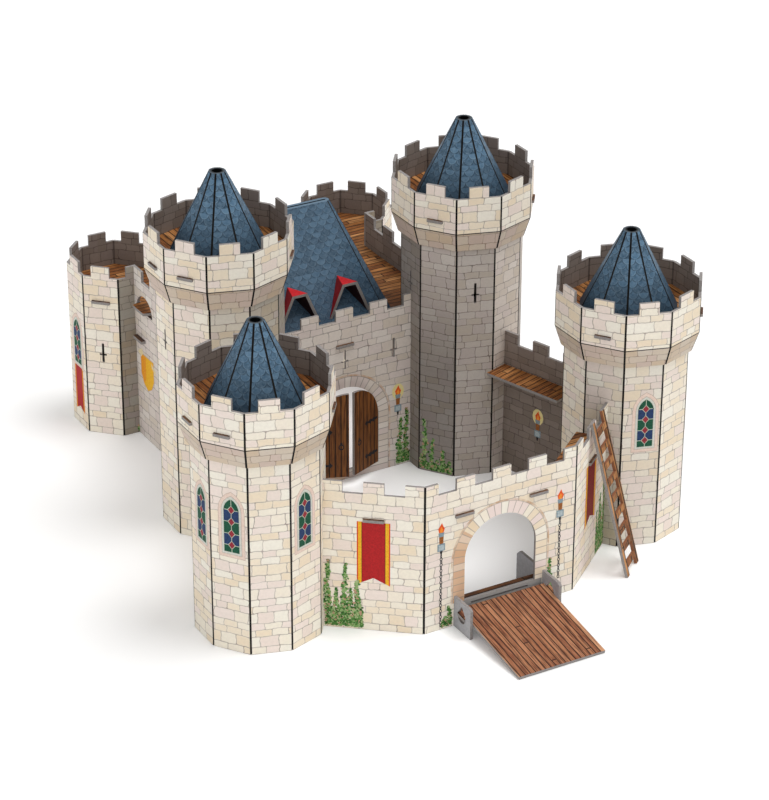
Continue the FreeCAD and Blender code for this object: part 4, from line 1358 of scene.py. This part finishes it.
@dataclass
class Ivy:
    """Climbing leaves: a thick bush at the foot and a few thin strands that climb out of it."""

    greens: tuple[str, ...] = ("3F7331", "55893F", "7BA65C", "2C5A24", "96B877", "4A7F38", "A9BE86")
    rose: str = "C39A80"
    rose_share: float = 0.1
    leaf: float = 1.2
    density: float = 0.85
    leaf_stretch: float = 1.35
    thick: float = 0.03
    least_height: float = 2.6
    strand_density: float = 2.8

    def grow(self, name: str, spot: Spot, bush: tuple[float, float, float],
             strands: tuple[tuple[float, float], ...], seed: int) -> None:
        """Scatters the leaves of one plant.

        Args:
            name: the piece's name.
            spot: the face it climbs.
            bush: the bush's start and end along the face and its height.
            strands: place along the face and height of each strand.
            seed: start of the steady random numbers.
        """
        chance = random.Random(seed)
        start, end, height = bush
        places = []
        for _ in range(int((end - start) * height * self.density)):
            x = chance.uniform(start, end)
            ragged = height * (0.72 + 0.28 * math.sin(x * 0.9 + seed))
            places.append((x, self.least_height + chance.random() ** 1.25 * ragged))
        for x, tip in strands:
            for _ in range(int((tip - height * 0.5) * self.strand_density)):
                share = chance.random()
                sway = math.sin(share * 5.0 + x) * 1.2
                places.append((x + sway + chance.gauss(0.0, 2.1 * (1.0 - share * 0.7)),
                               height * 0.5 + share * (tip - height * 0.5)))
        mesh = bmesh.new()
        tint = mesh.loops.layers.float_color.new("leaf_tint")
        for number, (x, y) in enumerate(places):
            size = self.leaf * chance.uniform(0.55, 1.15)
            made = bmesh.ops.create_circle(mesh, cap_ends=True, segments=5, radius=size)
            turn = Matrix.Rotation(chance.uniform(0, math.tau), 4, "Z")
            turn = turn @ Matrix.Scale(self.leaf_stretch, 4, (1, 0, 0))
            lift = 0.06 + 0.3 * number / len(places)
            bmesh.ops.transform(mesh, matrix=Matrix.Translation((x, y, lift)) @ turn, verts=made["verts"])
            code = self.rose if chance.random() < self.rose_share else chance.choice(self.greens)
            for face in {f for v in made["verts"] for f in v.link_faces}:
                if face.normal.z < 0:
                    face.normal_flip()
                for loop in face.loops:
                    loop[tint] = ink(code)
        low = list(mesh.faces)
        high = bmesh.ops.extrude_face_region(mesh, geom=low, use_keep_orig=True)["geom"]
        rise = [g for g in high if isinstance(g, bmesh.types.BMVert)]
        bmesh.ops.translate(mesh, verts=rise, vec=(0.0, 0.0, self.thick))
        bmesh.ops.reverse_faces(mesh, faces=low)
        mesh.transform(spot.matrix())
        piece = put(mesh, name, [self.finish()])
        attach(piece, "castle")
        log.info("grew %s with %d leaves", name, len(places))

    def finish(self) -> bpy.types.Material:
        """Leaf material that reads each leaf's own tint."""
        made = bpy.data.materials.get("ivy_leaves")
        if made is not None:
            return made
        press = Press("ivy_leaves")
        tint = press.node("ShaderNodeAttribute", attribute_name="leaf_tint")
        fleck = press.fleck(0.9, 3.0)
        shade = press.mix(press.step(fleck, 0.4, 0.8) * 0.35, tint.outputs["Color"], "1E3D16")
        return press.finish(shade, fleck)


@dataclass
class DoorIron:
    """Two iron straps with scrolls, and a ring handle with its plate."""

    levels: tuple[float, ...] = (25.0, 64.0)
    start: float = 1.5
    end: float = 22.0
    scrolls: tuple[float, ...] = (0.35, 0.6)
    handle: float = 31.0
    handle_level: float = 46.0

    def add(self, layer: Layer, way: float) -> None:
        """Prints one leaf's iron.

        Args:
            layer: the layer it goes on, counted from the hinge.
            way: one or minus one, for the side that the leaf lies on.
        """
        start, end, handle = self.start * way, self.end * way, self.handle * way
        for level in self.levels:
            neck, barb = end * 0.8, end * 0.86
            layer.shape([(start, level - 1.4), (neck, level - 1.1), (barb, level - 3.4), (end, level),
                         (barb, level + 3.4), (neck, level + 1.1), (start, level + 1.4)], Inks.IRON)
            for reach in self.scrolls:
                layer.band((end * reach, level), 1.3, 2.6, Inks.IRON, 1, 1.0, 10)
        layer.band((handle, self.handle_level), 1.7, 2.9, Inks.IRON, 0, 1.25, 14)
        layer.taper(handle, (self.handle_level + 2.6, 1.2), (self.handle_level + 5.4, 1.2), Inks.IRON, 1)


@dataclass
class Shield:
    """A gold shield with an amber quarter and a pale ribbon that comes out at both sides."""

    half: float = 16.0
    shoulder: float = 17.0
    hip: float = 6.0

    def add(self, layer: Layer, middle: float, foot: float, top: float) -> None:
        """Prints the shield.

        Args:
            layer: the layer it goes on.
            middle: its middle along the wall.
            foot: height of its point.
            top: height of its upper edge.
        """
        shoulder, hip = foot + self.shoulder, foot + self.hip
        for level, (rim, choice) in enumerate(((0.0, Inks.OUTLINE), (1.0, Inks.GOLD))):
            half = self.half - rim
            layer.shape([(middle - half, top - rim), (middle - half, shoulder), (middle - half * 0.6, hip),
                         (middle, foot + rim), (middle + half * 0.6, hip), (middle + half, shoulder),
                         (middle + half, top - rim)], choice, level)
        for points, choice, level in (
                (((-14.6, -2.0), (-14.6, -23.5), (-8.5, -34.0), (-4.0, -29.0), (-3.0, -2.0)), Inks.AMBER, 2),
                (((-21.0, -1.0), (-12.0, 5.5), (-9.0, 1.0), (-14.0, -5.0)), Inks.RIBBON, 3),
                (((10.0, -3.0), (20.0, -9.0), (21.0, -14.0), (11.0, -8.0)), Inks.RIBBON, 3)):
            layer.shape([(middle + x, top + y) for x, y in points], choice, level)


@dataclass
class Prints:
    """Everything printed over the stone: windows, banners, torches, ivy, straps and the shield."""

    plan: Plan
    lancet: Lancet = field(default_factory=Lancet)
    banner: Banner = field(default_factory=Banner)
    torch: Torch = field(default_factory=Torch)
    ivy: Ivy = field(default_factory=Ivy)
    iron: DoorIron = field(default_factory=DoorIron)
    shield: Shield = field(default_factory=Shield)

    def tower(self, name: str, facing: float) -> Spot:
        """Spot in the middle of one face of a tower."""
        return Spot.on_ring(centre("tower_body_" + name), self.plan.tower_flat, facing)

    def turret(self, facing: float) -> Spot:
        """Spot in the middle of one face of the left turret."""
        return Spot.on_ring(centre("turret_body_left"), self.plan.turret_flat, facing)

    def gate(self) -> Spot:
        """Spot at the foot of the gate's middle."""
        return Spot(0.0, self.plan.gate_front - CARD / 2, 0.0)

    @staticmethod
    def single(name: str, spot: Spot, picture: Lancet | Banner | Torch | Shield, *where: object) -> None:
        """Prints one picture as a piece of its own.

        Args:
            name: the piece's name.
            spot: the face it lies on.
            picture: what is printed.
            where: the rest of what the picture's add method takes.
        """
        layer = Layer(name, spot)
        picture.add(layer, *where)
        layer.done()

    def add(self) -> None:
        """Prints every picture on the card."""
        self.windows()
        self.banners()
        self.torches()
        self.plants()
        self.door_irons()
        wall = Spot.on_panel(self.plan.keep()["left"])
        self.single("shield_keep_left", wall, self.shield, 74.0, 60.0, 101.0)

    def windows(self) -> None:
        """The pointed windows on the front towers and the left turret."""
        for name, facing, label, middle, foot in (("front_left", -90.0, "outer", 3.0, 108.0),
                                                  ("front_left", -54.0, "left", 2.5, 108.0),
                                                  ("front_left", 18.0, "front", -1.5, 108.0),
                                                  ("front_right", 54.0, "outer", 0.0, 108.0),
                                                  ("front_right", -18.0, "front", 4.0, 112.0)):
            spot = self.tower(name, facing)
            self.single(f"window_{name}_{label}", spot, self.lancet, middle, foot, 164.5)
        self.single("window_turret_left", self.turret(-90.0), self.lancet, 0.0, 74.0, 126.0)

    def banners(self) -> None:
        """The red banners on both wings and on the left turret."""
        middle = self.plan.wing_length / 2
        for side, cloth in (("left", Inks.RED), ("right", Inks.DEEP_RED)):
            spot = Spot.on_panel(self.plan.wing(side == "left"))
            self.single("banner_wing_" + side, spot, self.banner, middle, 50.0, 118.6, cloth)
        small = Banner(21.0, 6.0, 1.2, 1.4, 0.4)
        self.single("banner_turret_left", self.turret(-90.0), small, 0.0, 16.0, 70.0)

    def torches(self) -> None:
        """The torches beside the gate, beside the keep's door and inside the right wall."""
        for name, x, chain_foot in (("left", -66.5, 1.0), ("right", 67.0, 18.0)):
            self.single("torch_gate_" + name, self.gate(), self.torch, x, 83.0, chain_foot)
        self.single("torch_keep", Spot(0.0, -CARD / 2, 0.0), self.torch, 63.4, 60.0)
        inner = Spot.on_panel(self.plan.curtain(False), False)
        self.single("torch_curtain_right", inner, self.torch, -(self.plan.tower_flat + 48.0), 48.0)

    def plants(self) -> None:
        """Ivy at the feet of the walls."""
        length = self.plan.wing_length
        wing = Spot.on_panel(self.plan.wing(True))
        self.ivy.grow("ivy_wing_left", wing, (2.0, 38.0, 42.0), ((3.5, 74.0), (21.0, 72.0), (33.0, 54.0)), 3)
        right = Spot.on_panel(self.plan.wing(False))
        self.ivy.grow("ivy_wing_right", right, (length - 26.0, length - 1.0, 50.0),
                      ((length - 4.0, 76.0), (length - 14.0, 66.0)), 5)
        self.ivy.grow("ivy_gate_left", self.gate(), (-65.0, -54.0, 13.0), ((-58.0, 24.0),), 7)
        self.ivy.grow("ivy_gate_right", self.gate(), (54.0, 60.0, 12.0), ((57.5, 44.0),), 9)
        keep = Spot(0.0, -CARD / 2, 0.0)
        self.ivy.grow("ivy_keep", keep, (62.0, 77.0, 26.0), ((66.0, 56.0), (73.0, 66.0)), 11)
        self.ivy.grow("ivy_tower", self.tower("back_right", -54.0), (-18.0, 18.0, 14.0),
                      ((-14.0, 60.0), (-4.0, 40.0), (8.0, 28.0)), 13)
        self.ivy.grow("ivy_turret", self.turret(0.0), (-3.0, 14.0, 8.0), ((11.0, 46.0),), 17)

    def door_irons(self) -> None:
        """The straps and handles on the two door leaves."""
        for name, side in (("left", -1.0), ("right", 1.0)):
            layer = Layer("door_iron_" + name, Spot(DOOR_JAMB * side, -CARD / 2, DOOR_AJAR * side),
                          "door_" + name, "plank_card")
            self.iron.add(layer, -side)
            layer.done()


@dataclass
class Studio:
    """Pale floor, soft lamps and the camera at the photo's angle."""

    eye: tuple[float, float, float] = (-1.3275, -2.4022, 1.5059)
    look: tuple[float, float, float] = (0.44181, 0.77151, -0.45779)
    roll: float = 0.148
    lens: float = 134.06
    sky: float = 0.66
    sun: float = 1.6
    sun_from: tuple[float, float, float] = (0.297, -0.17, 0.94)
    sun_spread: float = 30.0
    fill: float = 0.55
    fill_from: tuple[float, float, float] = (-0.55, -0.55, 0.63)
    fill_spread: float = 80.0
    hall_watts: float = 0.2
    hall_size: float = 0.14
    hall_at: tuple[float, float, float] = (0.0, 0.11, 0.15)
    floor_half: float = 9.0
    floor_drop: float = 0.0002
    floor_tone: float = 0.92
    floor_glow: float = 0.12

    def build(self) -> None:
        """Makes the floor, the light and the camera."""
        self.floor()
        self.light()
        self.camera()

    def floor(self) -> None:
        """A wide white floor that keeps the castle's shadow."""
        mesh = bmesh.new()
        bmesh.ops.create_grid(mesh, x_segments=1, y_segments=1, size=self.floor_half)
        bmesh.ops.translate(mesh, verts=mesh.verts, vec=(0.0, 0.0, -self.floor_drop))
        press = Press("white_floor")
        shader = press.node("ShaderNodeBsdfDiffuse", {"Color": (*[self.floor_tone] * 3, 1.0)})
        seen = Field(press, press.node("ShaderNodeLightPath").outputs["Is Camera Ray"])
        glow = press.node("ShaderNodeEmission", {"Strength": seen * self.floor_glow})
        both = press.node("ShaderNodeAddShader", {0: shader.outputs[0], 1: glow.outputs[0]})
        press.node("ShaderNodeOutputMaterial", {"Surface": both.outputs[0]})
        put(mesh, "floor", [press.material])

    def light(self) -> None:
        """Even sky light, a soft sun from the right, a weak one from the left and a lamp in the hall."""
        bpy.context.scene.world = bpy.data.worlds.new("studio")
        press = Press("studio", bpy.context.scene.world)
        seen = press.node("ShaderNodeLightPath").outputs["Is Camera Ray"]
        level = press.node("ShaderNodeMix", {0: seen, 2: self.sky, 3: 1.0}, data_type="FLOAT")
        back = press.node("ShaderNodeBackground", {"Strength": level.outputs[0]})
        press.node("ShaderNodeOutputWorld", {"Surface": back.outputs[0]})
        for name, energy, spread, way in (("sun", self.sun, self.sun_spread, self.sun_from),
                                          ("fill", self.fill, self.fill_spread, self.fill_from)):
            lamp = bpy.data.lights.new(name, "SUN")
            lamp.energy = energy
            lamp.angle = math.radians(spread)
            stand(name, lamp).rotation_euler = Vector(way).to_track_quat("Z", "Y").to_euler()
        lamp = bpy.data.lights.new("hall", "AREA")
        lamp.energy = self.hall_watts
        lamp.size = self.hall_size
        stand("hall", lamp).location = self.hall_at

    def camera(self) -> None:
        """Camera fitted to the photo."""
        data = bpy.data.cameras.new("camera")
        data.lens = self.lens
        data.sensor_width = 36.0
        data.sensor_fit = "AUTO"
        data.clip_end = 50.0
        holder = stand("camera", data)
        holder.location = self.eye
        aim = Vector(self.look).to_track_quat("-Z", "Y").to_matrix()
        holder.rotation_euler = (aim @ Matrix.Rotation(math.radians(self.roll), 3, "Z")).to_euler()
        bpy.context.scene.camera = holder
        bpy.context.scene.view_settings.view_transform = "Standard"


def main() -> None:
    """Builds the looks in order."""
    logging.basicConfig(level=logging.INFO, format="%(message)s")
    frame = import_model()
    Studio().build()
    dresser = Dresser(frame["nodes"])
    plan = Plan.read()
    Towers(dresser, plan).dress()
    Keep(dresser, plan).dress()
    Front(dresser, plan).dress()
    Prints(plan).add()
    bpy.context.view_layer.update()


if __name__ == "__main__":
    main()
